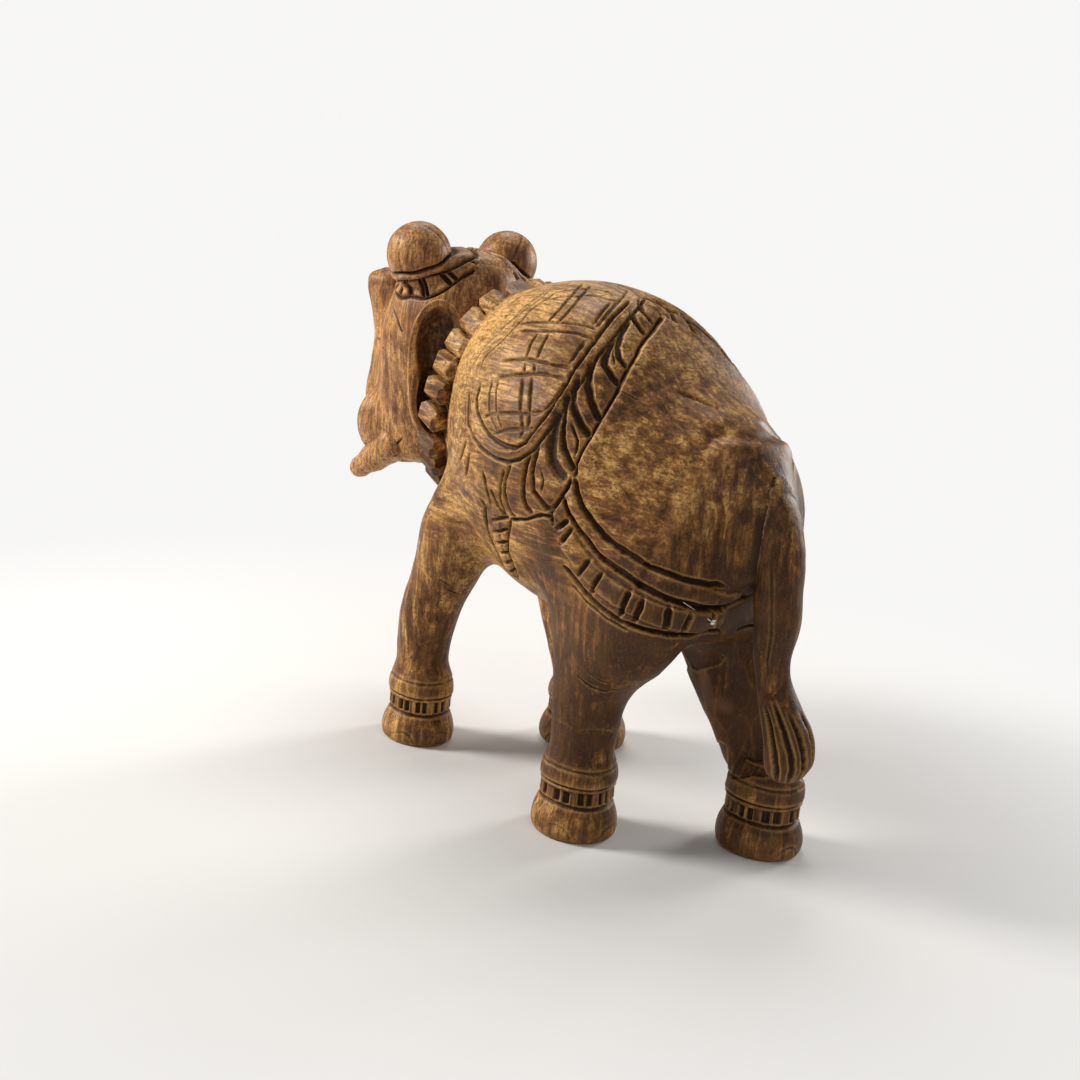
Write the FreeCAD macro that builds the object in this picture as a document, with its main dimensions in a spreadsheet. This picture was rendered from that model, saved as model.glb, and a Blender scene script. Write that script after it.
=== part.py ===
import FreeCAD, Part
import os

# Carved wooden elephant, standing, trunk raised against the brow.
# Millimetres. +Z is up, the head looks along -Y, the animal's left is +X.
# The figure is built up from sawn and carved blocks: a body block with four
# leg stubs, four leg blocks, a head block on a sloping neck joint, let-in
# tusks, coped-on ears and tail, with round dowels in bores across the joints.

V = FreeCAD.Vector
R = FreeCAD.Rotation
doc = FreeCAD.newDocument("carved_elephant")
sheet = doc.addObject("Spreadsheet::Sheet", "Sizes")
row = [0]


def cell(alias, value):
    """One driving number: plain text in column B, its word alias beside it."""
    row[0] += 1
    sheet.set("A%d" % row[0], alias)
    sheet.set("B%d" % row[0], repr(float(value)))
    sheet.setAlias("B%d" % row[0], alias)
    return alias


def bind(obj, **props):
    for prop, alias in props.items():
        obj.setExpression(prop.replace("__", "."), "Sizes." + alias if not alias.startswith("=") else alias[1:])


# ------------------------------------------------------------------ numbers
# torso sections: station along Y, top height, bottom height, half width
TORSO = [(-114, 232, 150, 26), (-106, 240, 143, 31), (-96, 249, 138, 35), (-84, 257, 131, 40.5), (-72, 263.5, 124, 48.5), (-60, 267, 118, 56), (-46, 271, 112, 64), (-30, 274, 107, 70), (0, 275, 100.5, 76), (30, 267, 99, 77), (60, 246.5, 99, 72), (85, 223.5, 107, 58), (104, 203, 118.5, 41)]
# rump cap: centre and half sizes
RUMP = dict(cy=86, cz=164, rx=44, ry=42.5, rz=50)
# leg sections: station Z, centre X, centre Y, half width X, half width Y
LEGS = {
    "front_left": dict(
        leg=[(37, 43, -85, 15.2, 15.4), (48, 43, -84, 15, 15.6), (60, 43.6, -83.2, 15.8, 16), (85, 43.6, -77.2, 17.8, 18.4), (96, 42.6, -73, 18.6, 19.6)],
        stub=[(96, 42.6, -73, 18.6, 19.6), (112, 41.6, -67, 20, 22), (135, 40, -60, 22, 25), (158, 36, -52, 20, 25)],
        foot=(43, -83, 20.5, 22.5), dowel=(43, -74)),
    "front_right": dict(
        leg=[(37, -44.5, -39, 15.6, 15.8), (48, -42.6, -45, 15, 15.8), (60, -42, -49, 15.5, 16.2), (85, -41, -57, 18, 19), (96, -40.6, -59, 19.4, 20.6)],
        stub=[(96, -40.6, -59, 19.4, 20.6), (112, -40, -60, 21, 23), (135, -38, -62, 22, 26), (158, -34, -58, 20, 26)],
        foot=(-46.5, -36, 26.5, 26.5), dowel=(-40.6, -59)),
    "rear_left": dict(
        leg=[(37, 42, 60, 15.5, 16), (46, 42, 60, 16, 16.6), (58, 42, 60.5, 17, 18), (74, 42, 62, 18.6, 20.6), (88, 42.6, 67.5, 20.6, 27), (96, 42.9, 71, 21.8, 32.5)],
        stub=[(96, 42.9, 71, 21.8, 32.5), (112, 42.4, 75.5, 24.6, 40), (130, 40, 77, 26, 44), (150, 35, 76, 25, 44), (170, 27, 71, 21, 38), (186, 20, 66, 13, 26)],
        foot=(42, 60, 22, 22.8), dowel=(42.8, 68)),
    "rear_right": dict(
        leg=[(37, -36, 111, 16, 17), (46, -36, 105, 16.5, 18), (58, -36, 98, 17.4, 21), (74, -36, 89, 19.2, 26.6), (88, -36, 83, 21.5, 31.5), (96, -36, 80, 22.3, 34)],
        stub=[(96, -36, 80, 22.3, 34), (112, -35.5, 76, 23.2, 38.5), (130, -32, 75, 22, 39), (150, -27, 73.5, 21, 36.5), (170, -22, 69, 18, 33), (186, -19, 66, 12, 23)],
        foot=(-33.5, 120, 22, 23), dowel=(-36, 82)),
}
# bell foot, anklet ring and anklet band: height, share of the foot's half widths
FOOT = [(0, .93), (3, .99), (7, 1.0), (12, .96), (16, .89), (19, .85), (26.5, .85), (27.5, .895), (33, .895), (38, .85), (43, .76)]
# tail sections: station Z, centre X, centre Y, half width X, half width Y
TAIL = [(53, -4, 153, 5, 5), (57, -4, 154, 9.2, 8.8), (63, -5, 154.5, 12.4, 11.2), (71, -5, 153.5, 13.2, 12), (81, -5, 149.5, 12.4, 12), (91, -4, 144, 10.4, 10), (101, -3, 139.6, 8.8, 8.6), (111, -1, 138.6, 9.4, 9), (126, 0, 140, 12, 10), (146, 1, 138, 13.4, 11), (166, 1, 134, 14, 12), (186, 1, 125, 14, 12), (204, 1, 112, 12, 11), (216, 1, 102, 8, 7.6)]
# trunk sections: station Z, centre X, centre Y, half width X, half width Y
TRUNK = [(146, 0, -186, 12, 12), (154, 0, -191, 16, 17), (166, 0, -196, 16, 18), (184, 0, -204, 16.5, 17.5), (206, 0, -203, 15, 17), (226, 0, -203, 14, 17.5), (242, 0, -207.5, 14.5, 19), (254, 0, -211, 16, 19), (262, 0, -212, 14, 15), (266, 0, -212, 8, 8.5)]
# head lobes: name, centre, half sizes
LOBES = [("left_dome", 32.5, -138, 277.5, 19, 19, 19.5), ("right_dome", -32.5, -138, 277.5, 19, 19, 19.5),
         ("left_cheek", 21, -179, 172, 15, 19, 22), ("right_cheek", -21, -179, 172, 15, 19, 22),
         ("face_ridge", 0, -181, 206, 22, 25, 44)]
# skull sections: station Z, centre X, centre Y, half width X, half width Y
SKULL = [(150.5, 0, -158, 16, 18), (154, 0, -158, 24, 27), (161, 0, -158.5, 29, 32), (172, 0, -158, 32, 36), (190, 0, -154.5, 35, 39), (210, 0, -148, 38, 42.5), (232, 0, -143, 41, 44), (250, 0, -140, 39, 42.5), (265, 0, -137, 34, 37), (276, 0, -134, 26, 28), (281, 0, -132.5, 18, 19), (283.5, 0, -132, 8, 8)]
# neck sections: station Y, top height, bottom height, half width
NECK = [(-58, 262, 158, 38), (-72, 262, 158, 39), (-90, 261, 158, 38), (-112, 258, 160, 38), (-134, 250, 168, 36)]

for nm, tab in (("torso", TORSO), ("neck", NECK)):
    for i, (st, top, bot, hw) in enumerate(tab):
        cell("%s_station_%02d" % (nm, i), st)
        cell("%s_top_%02d" % (nm, i), top)
        cell("%s_bottom_%02d" % (nm, i), bot)
        cell("%s_halfwidth_%02d" % (nm, i), hw)
for k, v in RUMP.items():
    cell("rump_" + k, v)
for leg, d in LEGS.items():
    for part in ("leg", "stub"):
        for i, sec in enumerate(d[part]):
            for nm, val in zip(("station", "centrex", "centrey", "halfx", "halfy"), sec):
                cell("%s_%s_%s_%02d" % (leg, part, nm, i), val)
    for nm, val in zip(("centrex", "centrey", "halfx", "halfy"), d["foot"]):
        cell("%s_foot_%s" % (leg, nm), val)
    cell(leg + "_dowel_centrex", d["dowel"][0])
    cell(leg + "_dowel_centrey", d["dowel"][1])
for i, (z, k) in enumerate(FOOT):
    cell("foot_station_%02d" % i, z)
    cell("foot_share_%02d" % i, k)
for nm, tab in (("tail", TAIL), ("trunk", TRUNK), ("skull", SKULL)):
    for i, sec in enumerate(tab):
        for nn, val in zip(("station", "centrex", "centrey", "halfx", "halfy"), sec):
            cell("%s_%s_%02d" % (nm, nn, i), val)
for (nm, x, y, z, a, b, c) in LOBES:
    for k, v in zip(("cx", "cy", "cz", "rx", "ry", "rz"), (x, y, z, a, b, c)):
        cell(nm + "_" + k, v)
cell("shift_x", 0.0)
cell("shift_y", 32)
cell("band_centre_y", -88.5)
cell("band_centre_z", 206)
cell("band_width", 17)
cell("band_half_height", 70)
cell("band_half_width", 49)
cell("leg_joint_height", 96)
cell("leg_dowel_radius", 5)
cell("leg_dowel_length", 40)
cell("glue_gap", 0.1)
cell("neck_joint_y", -100)
cell("neck_joint_z", 208)
cell("neck_joint_tilt", 67.5)
cell("neck_dowel_radius", 5)
cell("neck_dowel_length", 44)
cell("neck_dowel_offset", 18)
cell("tail_dowel_radius", 3)
cell("tail_dowel_length", 30)
cell("ear_face_angle", -36.9)
cell("ear_pin_radius", 1.2)
cell("ear_pin_length", 18)
cell("pin_shank_radius", 0.35)
cell("pin_shank_length", 22)
cell("pin_head_radius", 1.6)
cell("tusk_tenon_radius", 4.5)
cell("tusk_tenon_length", 12)
cell("tusk_root_radius", 8.6)
cell("tusk_mid_radius", 7.4)
cell("tusk_tip_radius", 4.6)
cell("tusk_length", 31)
cell("tusk_mid_length", 17)
doc.recompute()


def num(alias):
    return float(sheet.get(alias))


# ------------------------------------------------------------------ helpers
UPRIGHT = R(V(0, 0, 1), V(1, 0, 0), V(0, 1, 0), "XYZ")   # oval in XZ, long axis up
ALONG_Y = R(V(0, 1, 0), V(-1, 0, 0), V(0, 0, 1), "XYZ")  # oval in XY, long axis on Y
FLAT = R()                                               # oval in XY, long axis on X


def oval(name, rot, major, minor, x, y, z):
    e = doc.addObject("Part::Ellipse", name)
    e.MajorRadius = 1000
    e.MinorRadius = 1
    e.Placement = FreeCAD.Placement(V(0, 0, 0), rot)
    bind(e, MajorRadius=major, MinorRadius=minor, Placement__Base__x=x, Placement__Base__y=y, Placement__Base__z=z)
    return e


def loft(name, sections, ruled=False):
    lf = doc.addObject("Part::Loft", name)
    lf.Sections = sections
    lf.Solid = True
    lf.Ruled = ruled
    lf.Closed = False
    return lf


def table_loft(name, count, along_y):
    out = []
    for i in range(count):
        p = lambda s: "%s_%s_%02d" % (name, s, i)
        hi, lo = (p("halfy"), p("halfx")) if along_y else (p("halfx"), p("halfy"))
        out.append(oval("%s_oval_%02d" % (name, i), ALONG_Y if along_y else FLAT, hi, lo, p("centrex"), p("centrey"), p("station")))
    return loft(name + "_loft", out)


def lobe(nm):
    e = doc.addObject("Part::Ellipsoid", nm)
    e.Radius1, e.Radius2, e.Radius3 = 30, 31, 32
    bind(e, Radius1=nm + "_rz", Radius2=nm + "_rx", Radius3=nm + "_ry",
         Placement__Base__x=nm + "_cx", Placement__Base__y=nm + "_cy", Placement__Base__z=nm + "_cz")
    return e


def fuse(name, shapes):
    f = doc.addObject("Part::MultiFuse", name)
    f.Shapes = shapes
    return f


def boolean(kind, name, base, tool):
    b = doc.addObject("Part::" + kind, name)
    b.Base = base
    b.Tool = tool
    return b


def group(name, objs):
    c = doc.addObject("Part::Compound", name)
    c.Links = objs
    return c


def peg(name, radius, length, base, direction, gap=None):
    """Round peg as a PartDesign pad of one circle, centred on base along direction."""
    body = doc.addObject("PartDesign::Body", name)
    plane = [f for f in body.Origin.OriginFeatures if f.Role == "XY_Plane"][0]
    sk = body.newObject("Sketcher::SketchObject", name + "_sketch")
    sk.AttachmentSupport = [(plane, "")]
    sk.MapMode = "FlatFace"
    sk.addGeometry(Part.Circle(V(0, 0, 0), V(0, 0, 1), num(radius)), False)
    sk.addConstraint(Sketcher.Constraint("Coincident", 0, 3, -1, 1))
    sk.addConstraint(Sketcher.Constraint("Radius", 0, num(radius)))
    sk.renameConstraint(1, "peg_radius")
    extra = " + Sizes.glue_gap" if gap else ""
    sk.setExpression("Constraints.peg_radius", "Sizes." + radius + extra)
    pad = body.newObject("PartDesign::Pad", name + "_pad")
    pad.Profile = sk
    pad.Midplane = True
    pad.Length = num(length)
    pad.setExpression("Length", "Sizes." + length + (" + 4 * Sizes.glue_gap" if gap else ""))
    body.Tip = pad
    body.Placement = FreeCAD.Placement(V(*base), R(V(0, 0, 1), V(*direction)))
    return body


import Sketcher

# -------------------------------------------------------------- raw shapes


def upright_loft(name, count):
    out = []
    for i in range(count):
        top, bot = "Sizes.%s_top_%02d" % (name, i), "Sizes.%s_bottom_%02d" % (name, i)
        e = doc.addObject("Part::Ellipse", "%s_oval_%02d" % (name, i))
        e.MajorRadius, e.MinorRadius = 1000, 1
        e.Placement = FreeCAD.Placement(V(0, 0, 0), UPRIGHT)
        bind(e, MajorRadius="=(%s - %s) / 2" % (top, bot), MinorRadius="%s_halfwidth_%02d" % (name, i),
             Placement__Base__y="%s_station_%02d" % (name, i), Placement__Base__z="=(%s + %s) / 2" % (top, bot))
        out.append(e)
    return loft(name + "_loft", out)


torso = upright_loft("torso", len(TORSO))
rump = doc.addObject("Part::Ellipsoid", "rump")
rump.Radius1, rump.Radius2, rump.Radius3 = 30, 31, 32
bind(rump, Radius1="rump_rz", Radius2="rump_rx", Radius3="rump_ry", Placement__Base__y="rump_cy", Placement__Base__z="rump_cz")
stubs = [table_loft(leg + "_stub", len(LEGS[leg]["stub"]), True) for leg in LEGS]
# necklace: an oval band round the neck, parallel to the neck joint
band_axis = R(V(1, 0, 0), num("neck_joint_tilt")).multVec(V(0, 0, 1))
band_up = R(V(1, 0, 0), num("neck_joint_tilt")).multVec(V(0, 1, 0))
band_rot = R(band_up, V(-1, 0, 0), band_axis, "XYZ")
rims = []
for i, side in enumerate((-1, 1)):
    at = V(0, num("band_centre_y"), num("band_centre_z")) + band_axis * (side * num("band_width") / 2)
    e = doc.addObject("Part::Ellipse", "necklace_rim_%d" % i)
    e.MajorRadius, e.MinorRadius = 1000, 1
    e.Placement = FreeCAD.Placement(at, band_rot)
    bind(e, MajorRadius="band_half_height", MinorRadius="band_half_width")
    rims.append(e)
band = loft("necklace_band", rims, True)

trunk = table_loft("trunk", len(TRUNK), True)
skull = table_loft("skull", len(SKULL), True)
neck = upright_loft("neck", len(NECK))
head_raw = fuse("head_raw", [skull, neck, trunk] + [lobe(l[0]) for l in LOBES])

# neck joint: one flat sloping saw cut, given by a point and a tilt about X
saw = doc.addObject("Part::Box", "neck_saw_block")
saw.Length, saw.Width, saw.Height = 300, 300, 260
saw.Placement = FreeCAD.Placement(V(0, 0, 0), R(V(1, 0, 0), num("neck_joint_tilt")))
n = saw.Placement.Rotation.multVec(V(0, 0, 1))
yv = saw.Placement.Rotation.multVec(V(0, 1, 0))
saw.Placement.Base = V(-150, num("neck_joint_y"), num("neck_joint_z")) - yv * 150
torso_sawn = boolean("Cut", "torso_sawn", torso, saw)
body_cut = fuse("body_sawn", [torso_sawn, rump, band] + stubs)
head_cut = boolean("Common", "head_sawn", head_raw, saw)

# ---------------------------------------------------------------- joinery
nd = (n.x, n.y, n.z)
neck_at = [(s * num("neck_dowel_offset"), num("neck_joint_y"), num("neck_joint_z")) for s in (1, -1)]
neck_pegs = [peg("neck_peg_%d" % i, "neck_dowel_radius", "neck_dowel_length", b, nd) for i, b in enumerate(neck_at)]
neck_bores = [peg("neck_bore_%d" % i, "neck_dowel_radius", "neck_dowel_length", b, nd, True) for i, b in enumerate(neck_at)]
leg_pegs, leg_bores = {}, {}
for leg in LEGS:
    b = (num(leg + "_dowel_centrex"), num(leg + "_dowel_centrey"), num("leg_joint_height"))
    leg_pegs[leg] = peg(leg + "_peg", "leg_dowel_radius", "leg_dowel_length", b, (0, 0, 1))
    leg_bores[leg] = peg(leg + "_bore", "leg_dowel_radius", "leg_dowel_length", b, (0, 0, 1), True)
TAIL_AT = (1, 119, 163)
tail_peg = peg("tail_peg", "tail_dowel_radius", "tail_dowel_length", TAIL_AT, (0, 1, 0))
tail_bore = peg("tail_bore", "tail_dowel_radius", "tail_dowel_length", TAIL_AT, (0, 1, 0), True)
EAR_AT = [(39.5, -114.5, 230), (39, -115, 199)]
ear_pegs, ear_bores = {}, {}
for side, s in (("left", 1), ("right", -1)):
    ear_pegs[side] = [peg("%s_ear_peg_%d" % (side, i), "ear_pin_radius", "ear_pin_length", (s * x, y, z), (s, 0, 0)) for i, (x, y, z) in enumerate(EAR_AT)]
    ear_bores[side] = [peg("%s_ear_bore_%d" % (side, i), "ear_pin_radius", "ear_pin_length", (s * x, y, z), (s, 0, 0), True) for i, (x, y, z) in enumerate(EAR_AT)]

# tusk: turned spindle with a round tenon, set into the cheek
TUSK_AT = (24, -163, 160)
TUSK_DIR = (7.0, -25.5, -19.0)


def spindle(name, s):
    body = doc.addObject("PartDesign::Body", name)
    plane = [f for f in body.Origin.OriginFeatures if f.Role == "XZ_Plane"][0]
    sk = body.newObject("Sketcher::SketchObject", name + "_sketch")
    sk.AttachmentSupport = [(plane, "")]
    sk.MapMode = "FlatFace"
    L, M = num("tusk_length"), num("tusk_mid_length")
    a, b, c = num("tusk_root_radius"), num("tusk_mid_radius"), num("tusk_tip_radius")
    pts = [(0, 0), (a, 0), (b, M), (c, L - 3), (c - 2.6, L), (0, L)]
    for i in range(6):
        p, q = pts[i], pts[(i + 1) % 6]
        sk.addGeometry(Part.LineSegment(V(p[0], p[1], 0), V(q[0], q[1], 0)), False)
    for i in range(6):
        sk.addConstraint(Sketcher.Constraint("Coincident", i, 2, (i + 1) % 6, 1))
    sk.addConstraint(Sketcher.Constraint("Coincident", 0, 1, -1, 1))
    names = []

    def dim(kind, geo, pos, value, alias):
        k = sk.addConstraint(Sketcher.Constraint(kind, -1, 1, geo, pos, value))
        sk.renameConstraint(k, alias[0])
        sk.setExpression("Constraints." + alias[0], alias[1])
    sk.addConstraint(Sketcher.Constraint("PointOnObject", 0, 2, -1))
    dim("DistanceX", 0, 2, a, ("root_r", "Sizes.tusk_root_radius"))
    dim("DistanceX", 1, 2, b, ("mid_r", "Sizes.tusk_mid_radius"))
    dim("DistanceY", 1, 2, M, ("mid_l", "Sizes.tusk_mid_length"))
    dim("DistanceX", 2, 2, c, ("tip_r", "Sizes.tusk_tip_radius"))
    dim("DistanceY", 2, 2, L - 3, ("shoulder_l", "Sizes.tusk_length - 3"))
    dim("DistanceX", 3, 2, c - 2.6, ("nose_r", "Sizes.tusk_tip_radius - 2.6"))
    dim("DistanceY", 3, 2, L, ("nose_l", "Sizes.tusk_length"))
    sk.addConstraint(Sketcher.Constraint("PointOnObject", 4, 2, -2))
    sk.addConstraint(Sketcher.Constraint("Horizontal", 4))
    rev = body.newObject("PartDesign::Revolution", name + "_turned")
    rev.Profile = sk
    rev.ReferenceAxis = (sk, ["V_Axis"])
    rev.Angle = 360
    body.Tip = rev
    body.Placement = FreeCAD.Placement(V(s * TUSK_AT[0], TUSK_AT[1], TUSK_AT[2]), R(V(0, 0, 1), V(s * TUSK_DIR[0], TUSK_DIR[1], TUSK_DIR[2])))
    return body


tusks, sockets = {}, []
for side, s in (("left", 1), ("right", -1)):
    d = V(s * TUSK_DIR[0], TUSK_DIR[1], TUSK_DIR[2]).normalize()
    base = V(s * TUSK_AT[0], TUSK_AT[1], TUSK_AT[2])
    at = base + d * 2.0
    blank = spindle(side + "_tusk_blank", s)
    coped = boolean("Cut", side + "_tusk_coped", blank, head_cut)
    ten = peg(side + "_tusk_tenon", "tusk_tenon_radius", "tusk_mid_length", (at.x, at.y, at.z), (d.x, d.y, d.z))
    soc = peg(side + "_tusk_socket", "tusk_tenon_radius", "tusk_mid_length", (at.x, at.y, at.z), (d.x, d.y, d.z), True)
    sockets.append(soc)
    tusks[side] = fuse(side + "_tusk", [coped, ten])

# ears: thin cups, open at the back, coped onto the head's side
ears = {}
for side, s in (("left", 1), ("right", -1)):
    def dish(name, x, y, z, rx, ry, rz):
        for k, v in zip(("cx", "cy", "cz", "rx", "ry", "rz"), (x, y, z, rx, ry, rz)):
            cell(name + "_" + k, v)
        return lobe(name)
    outer = fuse(side + "_ear_outer", [dish(side + "_ear_top", s * 40, -101.5, 228, 15.2, 17, 27), dish(side + "_ear_lobe", s * 38.5, -103.5, 200, 13.5, 15, 25)])
    inner = fuse(side + "_ear_hollow", [dish(side + "_ear_hollow_top", s * 40.7, -97.7, 229, 12.6, 15, 22.5), dish(side + "_ear_hollow_low", s * 38.7, -99.7, 199, 10.3, 13, 21)])
    shell = boolean("Cut", side + "_ear_shell", outer, inner)
    trim = doc.addObject("Part::Box", side + "_ear_trim")
    trim.Length, trim.Width, trim.Height = 120, 80, 160
    face = R(V(0, 0, 1), num("ear_face_angle") * s)
    trim.Placement = FreeCAD.Placement(V(s * 39.6, -101.5, 130) + face.multVec(V(-60, -80, 0)), face)
    shell1 = boolean("Common", side + "_ear_facing", shell, trim)
    shell2 = boolean("Common", side + "_ear_front", shell1, saw)
    coped = boolean("Cut", side + "_ear_coped", shell2, head_cut)
    ears[side] = boolean("Cut", side + "_ear", coped, fuse(side + "_ear_bores", ear_bores[side]))

head = boolean("Cut", "head_block", head_cut, fuse("head_bores", neck_bores + sockets + ear_bores["left"] + ear_bores["right"]))

# steel pin: ball head and wire shank, pushed in at a low angle so half of the shank stays outside
PIN_AT = (26.0, 122.4, 127.0)
PIN_DIR = (0.862, -0.12, 0.49)
pin_dir = V(*PIN_DIR).normalize()
pin_mid = V(*PIN_AT) + pin_dir * (num("pin_shank_length") / 2)
shank = peg("pin_shank", "pin_shank_radius", "pin_shank_length", tuple(pin_mid), tuple(pin_dir))
shank_bore = peg("pin_shank_bore", "pin_shank_radius", "pin_shank_length", tuple(pin_mid), tuple(pin_dir), True)
ball = doc.addObject("Part::Sphere", "pin_ball")
bind(ball, Radius="pin_head_radius")
ball.Placement = FreeCAD.Placement(V(*PIN_AT), R(V(0, 0, 1), 180))
pin = fuse("strap_pin", [shank, ball])

tail_raw = table_loft("tail", len(TAIL), False)
tail_coped = boolean("Cut", "tail_coped", tail_raw, body_cut)
tail = boolean("Cut", "tail", tail_coped, tail_bore)
pin_seat = doc.addObject("Part::Sphere", "pin_seat")
pin_seat.setExpression("Radius", "Sizes.pin_head_radius + Sizes.glue_gap")
pin_seat.Placement = FreeCAD.Placement(V(*PIN_AT), R(V(0, 0, 1), 180))
body = boolean("Cut", "body_block", body_cut, fuse("body_bores", neck_bores + [leg_bores[k] for k in LEGS] + [tail_bore, shank_bore, pin_seat]))

legs = {}
for leg in LEGS:
    ovals = []
    for i in range(len(FOOT)):
        e = doc.addObject("Part::Ellipse", "%s_foot_oval_%02d" % (leg, i))
        e.MajorRadius, e.MinorRadius = 1000, 1
        e.Placement = FreeCAD.Placement(V(0, 0, 0), ALONG_Y)
        bind(e, MajorRadius="=Sizes.%s_foot_halfy * Sizes.foot_share_%02d" % (leg, i), MinorRadius="=Sizes.%s_foot_halfx * Sizes.foot_share_%02d" % (leg, i),
             Placement__Base__x=leg + "_foot_centrex", Placement__Base__y=leg + "_foot_centrey", Placement__Base__z="foot_station_%02d" % i)
        ovals.append(e)
    foot = loft(leg + "_foot_loft", ovals, True)
    shin = table_loft(leg + "_leg", len(LEGS[leg]["leg"]), True)
    legs[leg] = boolean("Cut", leg + "_block", fuse(leg + "_raw", [foot, shin]), leg_bores[leg])

doc.recompute()

nodes = {
    "body_block": body, "head_block": head,
    "left_ear": ears["left"], "right_ear": ears["right"],
    "left_tusk": tusks["left"], "right_tusk": tusks["right"],
    "front_left_leg": legs["front_left"], "front_right_leg": legs["front_right"],
    "rear_left_leg": legs["rear_left"], "rear_right_leg": legs["rear_right"],
    "tail": tail,
    "neck_dowels": group("neck_dowel_pair", neck_pegs),
    "front_leg_dowels": group("front_leg_dowel_pair", [leg_pegs["front_left"], leg_pegs["front_right"]]),
    "rear_leg_dowels": group("rear_leg_dowel_pair", [leg_pegs["rear_left"], leg_pegs["rear_right"]]),
    "left_ear_pins": group("left_ear_pin_pair", ear_pegs["left"]),
    "right_ear_pins": group("right_ear_pin_pair", ear_pegs["right"]),
    "tail_dowel": group("tail_dowel_single", [tail_peg]),
    "strap_pin": pin,
}
for name, obj in nodes.items():
    obj.Label = name
    obj.Placement = FreeCAD.Placement(V(num("shift_x"), num("shift_y"), 0), R())
doc.recompute()

bad = []
for o in doc.Objects:
    if "Invalid" in o.State or "Error" in o.State:
        bad.append("%s state %s" % (o.Name, o.State))
whole = None
for name, obj in nodes.items():
    s = obj.Shape
    if s.isNull() or not s.isValid() or not s.Solids:
        bad.append(name + " has no valid solid")
        continue
    print("%-18s solids %d  volume %10.1f  box %s" % (name, len(s.Solids), s.Volume, s.BoundBox))
    whole = s.BoundBox if whole is None else whole.united(s.BoundBox)
if bad:
    raise RuntimeError("; ".join(bad))
print("whole", whole)
os.makedirs("parts", exist_ok=True)
for name, obj in nodes.items():
    obj.Shape.exportStep("parts/%s.step" % name)
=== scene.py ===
import math
import time
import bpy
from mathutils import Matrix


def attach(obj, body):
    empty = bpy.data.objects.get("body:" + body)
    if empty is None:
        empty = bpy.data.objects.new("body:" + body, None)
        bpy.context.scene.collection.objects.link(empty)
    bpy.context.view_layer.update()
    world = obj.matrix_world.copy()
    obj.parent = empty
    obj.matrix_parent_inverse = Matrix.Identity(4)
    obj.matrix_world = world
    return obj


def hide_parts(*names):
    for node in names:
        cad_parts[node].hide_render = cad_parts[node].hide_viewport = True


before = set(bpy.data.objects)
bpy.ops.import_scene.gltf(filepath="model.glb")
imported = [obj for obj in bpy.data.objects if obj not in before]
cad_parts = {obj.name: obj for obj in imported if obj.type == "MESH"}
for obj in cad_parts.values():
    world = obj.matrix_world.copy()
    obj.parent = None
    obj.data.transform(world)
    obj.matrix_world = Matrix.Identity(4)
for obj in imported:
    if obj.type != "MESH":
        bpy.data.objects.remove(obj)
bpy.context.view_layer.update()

from concurrent.futures import ThreadPoolExecutor

import bpy
import bmesh
import numpy as np
import openvdb
from mathutils import Matrix, Vector, geometry

T0 = time.time()
SHIFT = np.array([0.0, 32.0, 0.0])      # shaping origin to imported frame, mm
VX = 1.0              # field step, mm


def log(*a):
    print("scene:", *a, "%.1fs" % (time.time() - T0), flush=True)


F4=np.float32

# ---------- tables (mm; head looks along -Y, left is +X)
TORSO=[(-114,232,150,26),(-106,240,143,31),(-96,249,138,35),(-84,257,131,40.5),(-72,263.5,124,48.5),(-60,267,118,56),(-46,271,112,64),(-30,274,107,70),(0,275,100.5,76),(30,267,99,77),(60,246.5,99,72),(85,223.5,107,58),(104,203,118.5,41)]
LEGS={
 'FL':[(34,43,-85,15.2,15.4),(48,43,-84,15,15.6),(60,43.6,-83.2,15.8,16),(85,43.6,-77.2,17.8,18.4),(96,42.6,-73,18.6,19.6),(112,41.6,-67,20,22),(135,40,-60,22,25),(158,36,-52,20,25)],
 'FR':[(34,-44.5,-39,15.6,15.8),(48,-42.6,-45,15,15.8),(60,-42,-49,15.5,16.2),(85,-41,-57,18,19),(96,-40.6,-59,19.4,20.6),(112,-40,-60,21,23),(135,-38,-62,22,26),(158,-34,-58,20,26)],
 'RL':[(34,42,60,15.5,16),(46,42,60,16,16.6),(58,42,60.5,17,18),(74,42,62,18.6,20.6),(88,42.6,67.5,20.6,27),(96,42.9,71,21.8,32.5),(112,42.4,75.5,24.6,40),(130,40,77,26,44),(150,35,76,25,44),(170,27,71,21,38),(186,20,66,13,26)],
 'RR':[(34,-36,111,16,17),(46,-36,105,16.5,18),(58,-36,98,17.4,21),(74,-36,89,19.2,26.6),(88,-36,83,21.5,31.5),(96,-36,80,22.3,34),(112,-35.5,76,23.2,38.5),(130,-32,75,22,39),(150,-27,73.5,21,36.5),(170,-22,69,18,33),(186,-19,66,12,23)]}
FEET={'FL':(43,-83,20.5,22.5),'FR':(-46.5,-36,26.5,26.5),'RL':(42,60,22,22.8),'RR':(-33.5,120,22,23)}
BELL=[(0,.93),(1.2,.965),(3,.99),(7,1.0),(12,.96),(16,.89),(20,.84),(30,.80)]
TAIL=[(53,-4,153,5,5),(57,-4,154,9.2,8.8),(63,-5,154.5,12.4,11.2),(71,-5,153.5,13.2,12),(81,-5,149.5,12.4,12),(91,-4,144,10.4,10),(101,-3,139.6,8.8,8.6),(111,-1,138.6,9.4,9),(126,0,140,12,10),(146,1,138,13.4,11),(166,1,134,14,12),(186,1,125,14,12),(204,1,112,12,11),(216,1,102,8,7.6)]
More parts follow.
